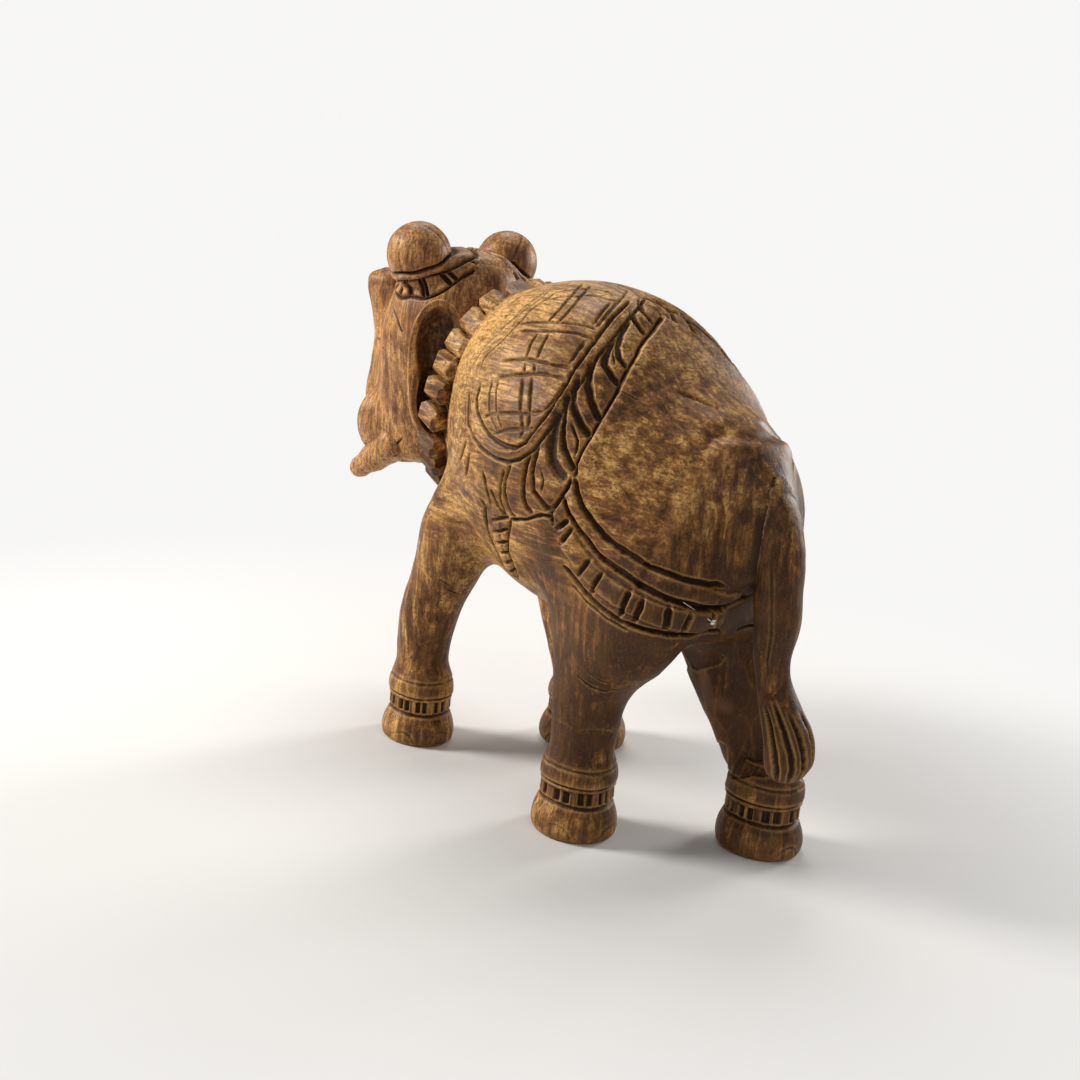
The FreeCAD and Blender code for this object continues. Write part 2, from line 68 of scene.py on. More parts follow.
TRUNK=[(146,0,-186,12,12),(154,0,-191,16,17),(166,0,-196,16,18),(184,0,-204,16.5,17.5),(206,0,-203,15,17),(226,0,-203,14,17.5),(242,0,-207.5,14.5,19),(254,0,-211,16,19),(262,0,-212,14,15),(266,0,-212,8,8.5)]
SKULL=[(150.5,0,-158,16,18),(154,0,-158,24,27),(161,0,-158.5,29,32),(172,0,-158,32,36),(190,0,-154.5,35,39),(210,0,-148,38,42.5),(232,0,-143,41,44),(250,0,-140,39,42.5),(265,0,-137,34,37),(276,0,-134,26,28),(281,0,-132.5,18,19),(283.5,0,-132,8,8)]
NECK=[(-58,262,158,38),(-72,262,158,39),(-90,261,158,38),(-112,258,160,38),(-134,250,168,36)]

def spline(xs,ys):
    xs=np.asarray(xs,float); ys=np.asarray(ys,float); m=np.gradient(ys,xs)
    lo,hi=xs[0],xs[-1]
    # dense LUT for speed
    n=1024; g=np.linspace(lo,hi,n)
    i=np.clip(np.searchsorted(xs,g)-1,0,len(xs)-2); h=xs[i+1]-xs[i]; t=(g-xs[i])/h
    v=(2*t**3-3*t**2+1)*ys[i]+(t**3-2*t**2+t)*h*m[i]+(-2*t**3+3*t**2)*ys[i+1]+(t**3-t**2)*h*m[i+1]
    v=v.astype(F4); sc=(n-1)/(hi-lo)
    def f(x):
        u=np.clip((x-lo)*sc,0,n-1.001); j=u.astype(np.int32); r=(u-j).astype(F4)
        return v[j]*(1-r)+v[j+1]*r
    return f

class Loft:
    """oval sections along an axis; end caps rounded by smooth max"""
    def __init__(s,axis,rows,n=2.0,cap=2.0):
        rows=np.array(rows,float); s.ax=axis; s.u,s.v=[i for i in range(3) if i!=axis]
        s.k0,s.k1=rows[0,0],rows[-1,0]; s.n=n; s.cap=cap
        s.cu,s.cv,s.ru,s.rv=[spline(rows[:,0],rows[:,j]) for j in (1,2,3,4)]
        lo=np.zeros(3);hi=np.zeros(3); lo[axis],hi[axis]=s.k0,s.k1
        lo[s.u],hi[s.u]=(rows[:,1]-rows[:,3]).min(),(rows[:,1]+rows[:,3]).max()
        lo[s.v],hi[s.v]=(rows[:,2]-rows[:,4]).min(),(rows[:,2]+rows[:,4]).max()
        s.lo,s.hi=lo,hi
    def __call__(s,P):
        k=P[:,s.ax]; a=s.ru(k); b=s.rv(k)
        U=(P[:,s.u]-s.cu(k))/a; W=(P[:,s.v]-s.cv(k))/b
        if s.n==2.0: k0=np.sqrt(U*U+W*W)
        else: k0=(np.abs(U)**s.n+np.abs(W)**s.n)**(1/s.n)
        q=np.sqrt(U*U+W*W)+1e-6
        k1=np.sqrt((U/a)**2+(W/b)**2)/q   # 1/effective radius
        d=(k0-1)/(k1+1e-9)
        # slope correction
        e=F4(1.0); k2=k+e
        a2=s.ru(k2); b2=s.rv(k2)
        U2=(P[:,s.u]-s.cu(k2))/a2; W2=(P[:,s.v]-s.cv(k2))/b2
        k02=np.sqrt(U2*U2+W2*W2) if s.n==2.0 else (np.abs(U2)**s.n+np.abs(W2)**s.n)**(1/s.n)
        g=(k02-k0)/(k1+1e-9)
        d=d/np.sqrt(1+np.clip(g*g,0,4))
        dc=np.maximum(s.k0-k,k-s.k1)
        return smax(d,dc,s.cap)

def tb(rows):  # (station, top, bottom, halfwidth) -> (k,cx,cz,rx,rz)
    return [(y,0,(t+b)/2,a,(t-b)/2) for y,t,b,a in rows]

class Ell:
    def __init__(s,c,r,R=None):
        s.c=np.array(c,F4); s.r=np.array(r,F4); s.R=None if R is None else np.array(R,F4)
        m=max(r); s.lo=np.array(c)-m; s.hi=np.array(c)+m
    def __call__(s,P):
        q=P-s.c
        if s.R is not None: q=q@s.R
        a=q/s.r; k0=np.sqrt((a*a).sum(1)); k1=np.sqrt(((a/s.r)**2).sum(1))+1e-9
        return k0*(k0-1)/k1

class Chain:
    def __init__(s,pts,rad,k=3):
        s.p=np.array(pts,F4); s.r=np.array(rad,F4)*np.ones(len(pts),F4); s.k=k
        m=s.r.max(); s.lo=s.p.min(0)-m; s.hi=s.p.max(0)+m
    def __call__(s,P):
        d=None
        for i in range(len(s.p)-1):
            a,b=s.p[i],s.p[i+1]; ab=b-a; t=np.clip(((P-a)@ab)/(ab@ab),0,1)
            v=P-a-t[:,None]*ab
            e=np.sqrt((v*v).sum(1))-(s.r[i]+(s.r[i+1]-s.r[i])*t)
            d=e if d is None else smin(d,e,s.k)
        return d

class Foot:
    """bell foot with a notch band and a flared collar ring"""
    def __init__(s,x,y,rx,ry):
        s.bell=Loft(2,[(z,x,y,rx*k,ry*k) for z,k in BELL],cap=1.0)
        s.band=Loft(2,[(17,x,y,rx*.845,ry*.845),(22,x,y,rx*.85,ry*.85),(28,x,y,rx*.845,ry*.845)],cap=1.0)
        s.ring=Loft(2,[(26.5,x,y,rx*.885,ry*.885),(29,x,y,rx*.90,ry*.90),(33,x,y,rx*.895,ry*.895),(38,x,y,rx*.85,ry*.85),(43,x,y,rx*.76,ry*.76),(47,x,y,rx*.66,ry*.66)],cap=1.6)
        s.lo=np.array([x-rx,y-ry,0.]); s.hi=np.array([x+rx,y+ry,47.])
    def __call__(s,P):
        return smin(smin(s.bell(P),s.band(P),1.0),s.ring(P),1.0)

def smin(a,b,k):
    if k<=0: return np.minimum(a,b)
    h=np.clip(0.5+0.5*(b-a)/k,0,1)
    return b*(1-h)+a*h-k*h*(1-h)
def smax(a,b,k): return -smin(-a,-b,k)

# main field: list of (primitive, smooth k)
def main_ops():
    ops=[(Loft(1,tb(TORSO),n=2.12,cap=6),0)]
    ops.append((Ell((0,86,164),(44,42.5,50)),30))
    for k,rows in LEGS.items():
        ops.append((Loft(2,rows,cap=10),16))
    for k,f in FEET.items(): ops.append((Foot(*f),2.5))
    ops.append((Loft(1,tb(NECK),cap=8),8))
    ops.append((Loft(2,SKULL,cap=3),8))
    ops.append((Ell((0,-181,206),(22,25,44)),8))
    ops.append((Loft(2,TRUNK,cap=4),8))
    for sx in (1,-1):
        ops.append((Ell((sx*32.5,-138,277.5),(19,19,19.5)),4))
        ops.append((Ell((sx*21,-179,172),(15,19,22)),6))
    return ops

JN=np.array([0,-0.92388,0.38268]); JU=np.array([0,0.38268,0.92388]); JP=np.array([0,-100,208.])
RC=np.array([0,-88.5,206.]); RX,RU=40.0,61.5
class Box:
    """chamfered block: centre, axes (rows), half sizes"""
    def __init__(s,c,A,h,r=1.2,ch=2.6):
        s.c=np.array(c,F4); s.A=np.array(A,F4); s.h=np.array(h,F4); s.r=r; s.ch=ch
        m=np.linalg.norm(h); s.lo=np.array(c)-m; s.hi=np.array(c)+m
    def __call__(s,P):
        q=np.abs((P-s.c)@s.A.T); d=q-(s.h-s.r)
        o=np.sqrt((np.maximum(d,0)**2).sum(1))+np.minimum(d.max(1),0)-s.r
        for i,j in ((0,1),(1,2),(0,2)):
            o=np.maximum(o,(q[:,i]+q[:,j]-(s.h[i]+s.h[j]-s.ch))*0.7071)
        return o
def ring_point(t):
    """t in radians from the top; returns centre-line point, outward, tangent"""
    p=RC+np.array([RX*np.sin(t),0,0])+JU*RU*np.cos(t)
    o=np.array([np.sin(t)/RX,0,0])+JU*np.cos(t)/RU; o/=np.linalg.norm(o)
    return p,o,np.cross(JN,o)
def necklace_ops(ts):
    out=[]
    for i,t in enumerate(ts):
        p,o,g=ring_point(t)
        a=0.14*np.sin(7.3*i+0.4); j=JN*np.cos(a)+g*np.sin(a); g2=g*np.cos(a)-JN*np.sin(a)
        out.append((Box(p+o*(3.6 if abs(t)>0.5 else 1.2)-JN*0.9,[g2,j,o],(6.7+0.4*np.sin(3.7*i),9.8,7.4+0.5*np.sin(5.1*i)),1.4,3.4),0.5))
    return out
EN=np.array([0.60,0.80,0.0])
def ear_ops(sx):
    nrm=np.array([sx*EN[0],EN[1],0]).astype(F4)
    def cup(P):
        a=smin(Ell((sx*40,-101.5,228),(15.2,17,27))(P),Ell((sx*38.5,-103.5,200),(13.5,15,25))(P),12)
        b=smin(Ell((sx*40.7,-97.7,229),(12.6,15,22.5))(P),Ell((sx*38.7,-99.7,199),(10.3,13,21))(P),6)
        cut=(P-np.array([sx*39.6,-101.5,0],F4))@nrm-1.0
        cut=cut-0.05*np.abs(P[:,2]-228)
        return smax(smax(a,-b,1.0),cut,1.2)
    cup.lo=np.array([sx*40-17,-121,173.]); cup.hi=np.array([sx*40+17,-84,256.])
    return cup
def tusk_op(sx):
    return Chain([(sx*24,-160,161),(sx*27.5,-176,150),(sx*30.5,-187,141.5),(sx*31,-189,140)],[11.0,8.6,6.0,4.6],3)
def tail_op(): return Loft(2,TAIL,cap=2.5)

def evaluate(ops,P,big=60.0,margin=26.0):
    """P: (n,3) compact block of points"""
    lo=P.min(0);hi=P.max(0)
    D=np.full(len(P),F4(big))
    for prim,k in ops:
        m=margin+k
        if (prim.lo-m>hi).any() or (prim.hi+m<lo).any(): continue
        D=smin(D,prim(P),k).astype(F4)
    return D

def field_at(ops,P,order_cell=36.0):
    """evaluate on scattered points by grouping them in cells, threaded"""
    c=np.floor((P-P.min(0))/order_cell).astype(np.int64); key=(c[:,0]*1000+c[:,1])*1000+c[:,2]
    o=np.argsort(key,kind='stable'); ks=key[o]; cut=np.flatnonzero(np.diff(ks))+1
    groups=np.split(o,cut); out=np.empty(len(P),F4)
    def job(g): out[g]=evaluate(ops,P[g])
    with ThreadPoolExecutor(4) as ex: list(ex.map(job,groups))
    return out

def field_mesh(ops,lo,hi,vx,coarse=5,fieldf=None):
    fieldf=fieldf or (lambda Q:field_at(ops,Q))
    lo=np.array(lo,float); n=np.ceil((np.array(hi)-lo)/(vx*coarse)).astype(int)+1
    ax=[lo[i]+vx*coarse*(np.arange(n[i])+0.5)-vx*0.5 for i in range(3)]
    G=np.stack(np.meshgrid(*ax,indexing='ij'),-1).reshape(-1,3).astype(F4)
    C=fieldf(G).reshape(n)
    half=vx*coarse*0.5*1.732
    N=n*coarse
    full=np.repeat(np.repeat(np.repeat(np.where(C<0,F4(-3*vx),F4(3*vx)),coarse,0),coarse,1),coarse,2)
    sel=np.argwhere(np.abs(C)<half*1.5+2.2*vx)
    off=np.stack(np.meshgrid(*[np.arange(coarse)]*3,indexing='ij'),-1).reshape(-1,3)
    I=(sel[:,None,:]*coarse+off[None]).reshape(-1,3)
    P=(lo+I*vx).astype(F4)
    d=fieldf(P)
    full[I[:,0],I[:,1],I[:,2]]=np.clip(d,-3*vx,3*vx)
    g=openvdb.FloatGrid(background=float(3*vx)); g.copyFromArray(full)
    V,Q=g.convertToQuads(isovalue=0.0)
    return V*vx+lo,Q,len(P)

def project(V,fieldf,iters=2,h=0.4):
    """slide vertices onto the exact zero surface, return normals too"""
    V=V.astype(F4)
    for it in range(iters+1):
        d=fieldf(V); g=np.empty_like(V)
        for i in range(3):
            e=np.zeros(3,F4); e[i]=h
            g[:,i]=(fieldf(V+e)-fieldf(V-e))/(2*h)
        L=np.sqrt((g*g).sum(1))+1e-6
        if it<iters: V=V-(np.clip(d/L,-0.8,0.8)/L)[:,None]*g
    return V,g/L[:,None]


# ---------------------------------------------------------------- carved lines (name, half width, depth, points)
GROOVES = [
    ("h1a", 0.8, 1, [(32.4, -10.2, 268.2), (28, -4.2, 270.2), (25.6, -1.6, 270.9), (20.9, 3, 271.9), (18, 7.7, 272), (15.6, 11.2, 271.8), (16, 15.9, 270.6)]),
    ("h1b", 0.9, 1.1, [(38.6, -6, 264.8), (35.7, -2.5, 266.4), (33.5, 1.1, 267.3), (31.8, 5.4, 267.6), (28.7, 7.3, 268.6), (25.6, 10.6, 269.3), (23.3, 15, 269), (21.3, 19.9, 268.2), (17.6, 23.3, 268)]),
    ("h2a", 1, 1.2, [(53.8, -10.3, 251.3), (52.8, -3.7, 252.9), (51.2, 6.3, 254.1), (49.9, 12.7, 254.4), (47.9, 17.9, 255), (45.7, 23.3, 255.2), (43.3, 27.9, 255.1), (41.6, 31.4, 254.7), (40.2, 34.3, 254)]),
    ("h2b", 1, 1.3, [(56.7, -6.5, 248.2), (55.8, 4.6, 249.3), (54, 14.3, 250.2), (52.2, 19.8, 250.7), (50, 24.9, 251.1), (47.6, 29.8, 251.1), (45.4, 35.2, 250.1), (43.9, 38.8, 249)]),
    ("h3a", 1, 1.3, [(66.3, -6.3, 232.3), (65.8, 3.5, 234.4), (64.8, 14.2, 235.7), (63.4, 24.1, 235.7), (62, 30.3, 235.3), (59.9, 35.4, 235.6), (58.4, 39.7, 234.9)]),
    ("h3b", 1.1, 1.3, [(69.7, -4.1, 224.4), (69.4, 5.4, 226.6), (68.4, 15.8, 228.6), (66.3, 25, 230.5), (64.6, 31.9, 230.5), (62.8, 37.7, 230.1), (62, 41.3, 229)]),
    ("h4a", 1.1, 1.1, [(74.2, -7.7, 202.7), (74.5, -1.5, 205.9), (75, 7.3, 207.7), (74.8, 17.4, 209.4), (74, 25.9, 210.5), (72.8, 31.9, 211.8), (71.4, 36.4, 213.5)]),
    ("h4b", 1.1, 1, [(76.2, 5, 196.7), (76.3, 14.5, 200.4), (76, 22, 202.2), (75.4, 28.6, 203.3), (74.3, 34.6, 204.6)]),
    ("v1a", 0.9, 1, [(17.3, -6.8, 273.6), (30.8, 1.9, 268.5), (40.1, 5.9, 262.9), (47.6, 7.8, 257.2), (51, 7.8, 254.1)]),
    ("v1b", 0.9, 1, [(17.6, -0.2, 273.1), (27.9, 6.2, 269.2), (36.6, 11.1, 264.2), (44, 13.6, 259), (49.6, 14.6, 254.4)]),
    ("v1c", 0.9, 1.1, [(56.1, 7.7, 248.7), (59.7, 7.9, 244.1), (63.3, 10, 238.7), (65.1, 11.4, 235.5)]),
    ("v1d", 0.9, 1.1, [(54.7, 14.9, 249.3), (59.2, 16.2, 243.8), (62.4, 17.7, 239), (63.9, 18.6, 236.4)]),
    ("v1e", 0.8, 1, [(66.3, 12.6, 233.2), (68.3, 15, 228.9)]),
    ("v1f", 0.8, 1, [(65.3, 18.6, 234), (67.2, 21.4, 229.9)]),
    ("v1g", 1.3, 1.3, [(69.4, 15.2, 226.5), (71.8, 18, 219.8), (73.9, 21.4, 212.5), (74.8, 24.3, 208), (75.6, 26.8, 202.6), (76.2, 27.2, 198.7)]),
    ("v1h", 1.1, 1.3, [(68.5, 21.1, 227.5), (70.8, 24.1, 221), (72.7, 26.8, 214.9), (74.1, 29.2, 208.8), (75, 30.5, 204.1)]),
    ("v2a", 1, 1.1, [(14.5, 21.3, 269.3), (25.2, 27.1, 264.5), (33.7, 30.7, 259.4), (40.1, 32.9, 254.9)]),
    ("v2a2", 1, 1.1, [(23.9, 23.1, 266.4), (31.9, 26.8, 262), (39.8, 30.6, 256.2)]),
    ("v2b", 1.2, 1.1, [(48.2, 35, 247.9), (52.7, 35.6, 243.6), (57.9, 36.7, 237.3)]),
    ("v2c", 0.8, 0.9, [(45.9, 38.2, 247.9), (50.8, 39.5, 243.1), (55.1, 40.7, 238.2)]),
    ("v2d", 1.1, 1, [(59.1, 40.2, 233.8), (62.1, 40.5, 229.5), (64.7, 40.5, 225.4), (68.7, 39.1, 218.5), (71.2, 36.7, 213.7)]),
    ("v0a", 0.9, 1, [(70.1, -8.1, 222.1), (72, -7.1, 215.6), (74.1, -3.3, 207.5), (75.3, 1.8, 202.8), (76.2, 7.9, 198.8)]),
    ("v0b", 0.8, 0.9, [(70.2, -3.1, 223.3), (72.4, -1.2, 216.5), (74.5, 2.9, 208.7), (75.7, 8, 203.5), (76.3, 12, 200.1)]),
    ("vtop", 0.7, 0.8, [(3.4, 13, 272.8), (15.1, 22.1, 268.9)]),
    ("edge0", 0.8, 0.9, [(66.6, -24.2, 224.1), (63.6, -25, 231.3), (62.5, -19.9, 236.1), (60.7, -15.7, 240.8), (58.2, -13.7, 245.1), (55, -12.4, 249.6), (51.5, -11.4, 253.8), (47.1, -11.7, 258.1), (42.8, -10.4, 261.7), (38.3, -9.4, 264.9), (32.4, -10.2, 268.2)]),
    ("edge1", 0.6, 0.6, [(63.5, -33, 225.8), (60.3, -33.6, 233.3), (59.2, -29.2, 238.1), (57.5, -25.5, 242.7), (55.3, -23.4, 246.7), (52.9, -21, 250.4), (50, -19.6, 254.1), (46.1, -19.6, 257.9), (41.6, -18.7, 261.8), (36.2, -18.7, 265.4), (28.6, -21.4, 269.2)]),
    ("edge2", 0.6, 0.6, [(65.1, -35.2, 218.4), (62.5, -36.3, 225.6), (61.4, -34.1, 230.4), (59.8, -32.5, 235), (58.1, -28.9, 240.3), (55.5, -26.1, 245.5), (53.4, -22, 249.6), (50.5, -19.1, 253.6), (47.6, -16.5, 257.1), (43.7, -15, 260.6), (39.4, -14, 263.9), (33.4, -16.6, 267.3), (24.8, -22.1, 270.6)]),
    ("edge3", 0.6, 0.6, [(66.3, -37.5, 208.6), (65.5, -37, 213.6), (64, -37.7, 219.1), (62.1, -35.1, 227.8), (61.1, -31.8, 232.8), (59.7, -28.7, 237.5), (57.5, -24.6, 243.1), (54.2, -22.1, 248.5), (51.5, -19.1, 252.5), (48.1, -17.3, 256.4), (43.8, -16.2, 260.4)]),
    ("cordout", 1.1, 1.6, [(68.1, -29.7, 212.4), (70.4, -26.1, 204), (71.8, -23.3, 196.6), (73.8, -14.6, 191.1), (75.5, -3.8, 187.3), (76.8, 9, 185.2), (77.3, 19.8, 185.3), (77, 28.3, 188.4), (76, 35.6, 193.8), (75, 38.5, 197.8), (73.9, 40.9, 201.6), (72.2, 42.8, 206.3), (70.6, 44, 210.2), (68.4, 45.3, 214.7), (65.9, 46.3, 218.9), (62.4, 46.8, 224.5), (58.6, 46.8, 229.8), (54.8, 46.4, 234.4), (50.5, 45.6, 239.3), (46, 44.2, 244), (41, 43.4, 248), (35.3, 41.6, 252.4), (29.2, 39.5, 256.5), (21.6, 36.1, 261), (12.6, 31.5, 265.4), (0.6, 23.5, 269.7)]),
    ("cordmid", 0.6, 0.7, [(66.2, -25.8, 223.8), (69.2, -22.7, 215.9), (70.8, -22.1, 208.7), (72.7, -17.5, 201.1), (74.5, -10, 195.6), (76, 0.5, 191.3), (77, 11.3, 189.7), (77.2, 20.4, 190.2), (76.6, 28.8, 194), (75.2, 34.5, 200), (73.8, 37.2, 204.9), (72.1, 39.3, 209.6), (69.7, 40.8, 214.9), (67.2, 41.7, 219.8), (64.9, 42.1, 224), (62.4, 41.9, 228.1), (59.6, 41.6, 232.2), (56.4, 41.2, 236.2), (53.1, 40.8, 240.1), (49.7, 40.2, 243.6), (45.7, 39.2, 247.4), (41.5, 38, 251.2), (36.1, 36.7, 255), (30.2, 34.9, 258.8), (23.1, 31.8, 262.9), (14.6, 27.9, 266.8), (3.3, 21.2, 270.5)]),
    ("cordin", 1.2, 1.5, [(69.5, -18.6, 218.4), (71.1, -18.8, 211.2), (72.8, -15.2, 204.5), (74.6, -7.5, 199.7), (75.8, 0.1, 195.8), (76.6, 8.4, 193.8), (77, 16.4, 192.8), (76.9, 24.6, 193.2), (76.1, 30.7, 196.8), (74.7, 34.3, 202.9), (73.3, 36.7, 207.3), (71.8, 38.4, 211.1), (69.8, 39.8, 215.4), (68.1, 40.3, 218.9), (65.7, 40.9, 223.4), (62.7, 41.1, 228.1), (58.1, 40.4, 234.8), (55.1, 40.3, 238.3), (51.8, 39.9, 242), (48.2, 39, 245.6), (44.4, 38.3, 249), (40.2, 36.8, 252.7), (35.5, 35.2, 256.2), (30.5, 32.9, 259.8), (22.6, 30.2, 263.9), (12.4, 25.2, 268.2)]),
    ("f1", 1.6, 2.2, [(8.8, 41.4, 260.1), (9.2, 37.9, 262.3), (10.5, 33.5, 264.6), (6.7, 25.8, 268.6)]),
    ("f2", 1.7, 2.4, [(18.2, 32.8, 263.7), (19.6, 38.9, 259.9), (19.1, 46.5, 254.9)]),
    ("f3", 1.6, 2, [(23, 37.3, 259.9), (31.4, 42, 254), (37, 46.5, 248.1), (39.3, 51.5, 243), (38.1, 57.2, 239.1)]),
    ("f4", 1.8, 2.2, [(36.4, 42.5, 251.3), (41.5, 45.1, 246.5), (45.1, 47.3, 242.5), (47, 49.6, 239.2), (46.8, 56.2, 234), (45, 61, 231.2)]),
    ("f4b", 0.6, 0.8, [(31.1, 39.8, 255.5), (37.6, 44.2, 249.4), (41.1, 48.3, 244.4), (43.2, 52.8, 239.5)]),
    ("f5", 1.9, 2.3, [(50.2, 44.3, 240.4), (54.6, 47.4, 234), (56.6, 49.5, 230.1), (58.7, 55.2, 222.6), (58.9, 60.9, 216.6), (57.8, 64.7, 213.9)]),
    ("f6", 1.8, 2.2, [(58.2, 44.9, 231.6), (62.1, 45.8, 225.6), (64.4, 48.6, 219.8), (64.9, 52.2, 215.7), (64.8, 57.4, 210.5), (63.4, 63.4, 205.8)]),
    ("f7", 1.5, 2, [(63.6, 44.1, 224.6), (65.7, 45.2, 220.3), (67.2, 46.5, 216.3), (68.5, 48.2, 211.8), (69.7, 49.7, 207.4), (70.7, 51.5, 202.6), (71.1, 53.8, 198.2), (70.7, 57.9, 192.9), (69.9, 61.8, 188.4)]),
    ("f8", 2.6, 2, [(68, 44.6, 216.1), (69.7, 44.7, 212), (71.2, 45, 207.6), (72.3, 46, 203.1), (73.3, 46.7, 198.3), (74, 48.8, 191.8), (73.2, 54.2, 186.5), (71.8, 59.1, 183.5)]),
    ("f10", 1.5, 2.6, [(74.9, 39.1, 197.9), (76, 38.5, 189.8), (76.4, 38.3, 182.9), (76.1, 40.4, 174.9), (75.5, 44.7, 171.6), (74.6, 49.5, 168.3), (73.6, 54.4, 167.9)]),
    ("f11", 1.5, 2.3, [(76.2, 34.9, 192.2), (76.7, 33.5, 186.9), (76.8, 32.9, 178.8), (76.2, 33, 170.4), (75.4, 35.7, 165.1), (75, 40.1, 163.2)]),
    ("f12", 1, 2, [(77.3, 22.2, 184.8), (77, 19.3, 176.1), (76.3, 18.2, 170.1), (75.3, 20.9, 163.2), (74.5, 23.8, 159.3), (74.2, 27.3, 158.2)]),
    ("f13", 1, 1.9, [(77.2, 17.2, 180.3), (76.5, 15, 172.3), (75.5, 14.2, 165.7), (74.3, 17.4, 159.5), (73.8, 19.8, 157.2)]),
    ("f14", 1.2, 2, [(75.2, 6.5, 167.8), (74.3, 10.9, 161.4), (73.8, 15.5, 157.7), (73.5, 19.7, 156)]),
    ("f15", 1.3, 2, [(75.2, -2.1, 175.9), (74.7, 0.5, 169.5), (74, 2.5, 163.8), (73.1, 4.5, 158.9)]),
    ("f16", 1.3, 1.8, [(71.9, -5.9, 160.3), (71.7, -2.4, 157.4), (68.9, -5.4, 150.3), (65.8, -4.5, 142.9), (61.2, -4.1, 134.5)]),
    ("f17", 1, 1.6, [(71.9, -23.4, 188.1), (70.2, -28.1, 180), (68.5, -32.2, 176.2)]),
    ("f18", 1.4, 2, [(72.9, -18.2, 182.6), (71.7, -20.7, 175.3), (70.2, -23.2, 169.3)]),
    ("f19", 0.9, 1.6, [(73.5, 21.1, 155.9), (74, 27.2, 157.3), (74.3, 34.8, 159.1), (74.7, 41.3, 162), (74.6, 47.1, 164.2), (73.8, 52.1, 164.4), (73, 54.2, 161.5)]),
    ("f20", 1.2, 2.2, [(73, 54.2, 161.5), (74.1, 52, 166.8), (73.4, 55.7, 172.1), (71.9, 59.9, 179.3), (70.8, 60.9, 185.1)]),
    ("f21", 0.8, 1.2, [(67.3, 53.1, 209.9), (67.4, 58.5, 203.1), (69.1, 59.6, 196.2)]),
    ("f22", 0.7, 0.8, [(75.5, 44.2, 186), (75.4, 46.3, 181.4), (75.5, 45.9, 175.4)]),
    ("rump", 1.2, 2, [(-9.1, 31.4, 265.9), (1.8, 39, 262), (10.5, 44.3, 257.9), (19.5, 48.7, 253.1), (26.3, 51.7, 248.9), (30.4, 54.5, 245.2), (34.7, 56.4, 241.7), (38.9, 57.9, 238.1), (45, 60.6, 231.6), (47.8, 62, 227.9), (52.9, 63.1, 221.8), (57, 63.7, 216.1), (60, 63.6, 211.7), (62.5, 63.6, 207.3), (65, 63, 202.8), (67.1, 62.2, 198.2), (69.1, 61.8, 191.9), (69.7, 63.1, 185.8)]),
    ("gl", 1.1, 1.8, [(71.6, -2.4, 156.9), (69.5, -2.9, 150.8), (66.3, -5, 144.1), (64.1, -3.7, 139.3), (61.2, -3.2, 134.3), (57.8, -3.3, 129.4), (52.4, -6.1, 123.7), (47, -2.3, 117.7)]),
    ("gr", 1.2, 2, [(73.5, 22, 155.6), (70.3, 16.8, 147), (65.6, 12.2, 137.9), (61, 10.8, 130.7), (52.8, 7.8, 121.3)]),
    ("gb0", 1, 1.6, [(70.6, 3.2, 151.4), (73.9, 20.8, 157.3)]),
    ("gb1", 1, 1.6, [(67.6, 0.9, 144.7), (71.5, 18, 150)]),
    ("gb2", 1, 1.6, [(64.8, 0.8, 139.1), (68.1, 14.9, 142.3)]),
    ("gb3", 1, 1.6, [(61.5, 0.7, 133.5), (64.6, 12.2, 136.1)]),
    ("gb4", 1, 1.6, [(56.7, -1.1, 127.3), (61.2, 11.9, 130.9)]),
    ("gb5", 1, 1.6, [(52.3, -0.7, 122.2), (57.9, 11.7, 126.4)]),
    ("b_top", 1.3, 2, [(69.9, 62.8, 185.7), (69.6, 65.2, 179.4), (68.2, 69.2, 172.4), (66.2, 74, 167.6), (64.8, 77.9, 164.2), (63.6, 81.9, 160.9), (62.1, 87.1, 158.7), (60.4, 92.9, 156.5), (58.9, 97.4, 155.1), (57.4, 101.6, 153.5), (54.9, 105.2, 151.6), (52.8, 110.6, 150.9), (49.9, 115.3, 150), (45.8, 118.8, 148.7), (42, 121, 147.8), (37.7, 122.5, 147.2), (32, 123.3, 145.9), (23.3, 123.3, 145.3), (15, 124.1, 145.2)]),
    ("b_low", 1.5, 2.6, [(72.3, 59.2, 176.1), (71.7, 60.8, 172.2), (70.8, 62.8, 168.1), (69.2, 66.7, 163.8), (67.5, 71, 159.5), (66.4, 74.4, 156.9), (65.6, 77.5, 154.2), (64.8, 81.3, 151.6), (63.6, 86.6, 149.7), (62.5, 91.8, 147.7), (61.3, 96.2, 146.4), (60.1, 100.5, 144.6), (58.2, 103.9, 142.9), (56.3, 108.2, 141.4), (54.1, 112.6, 140), (51.5, 116.3, 138.4), (47.3, 119.7, 137.7), (42.6, 121.8, 136.7), (36, 122.3, 134.9), (25.8, 120.4, 133), (17.1, 119.2, 131.7), (12.3, 120.4, 133.7), (7.7, 122.3, 136.3)]),
    ("b_bot", 1.2, 2.2, [(68.4, 60.8, 141.3), (67.6, 66.5, 137.8), (67.2, 70.7, 135.1), (66.9, 75.2, 132.5), (66.6, 81.1, 130.1), (66, 87.1, 127.7), (64.9, 93.2, 126), (63.4, 98.5, 123.8), (60.7, 104.7, 123.2), (57.4, 110, 122.3), (53.5, 114.3, 122.2), (48.4, 117.6, 121.4), (41.9, 119.5, 121.2), (30.6, 116.7, 118.9), (14.9, 112.9, 118.6)]),
    ("b_bot2", 0.6, 0.9, [(67.3, 66.7, 133.7), (67.1, 72.3, 130.9), (67, 77.5, 128.2), (66.4, 84.6, 126), (65.4, 91.3, 123.5), (63.7, 97.5, 122.2), (61.4, 103.1, 120.5)]),
    ("bb0", 1.5, 2.4, [(70.9, 62.3, 165.1), (72.1, 56.9, 159.8)]),
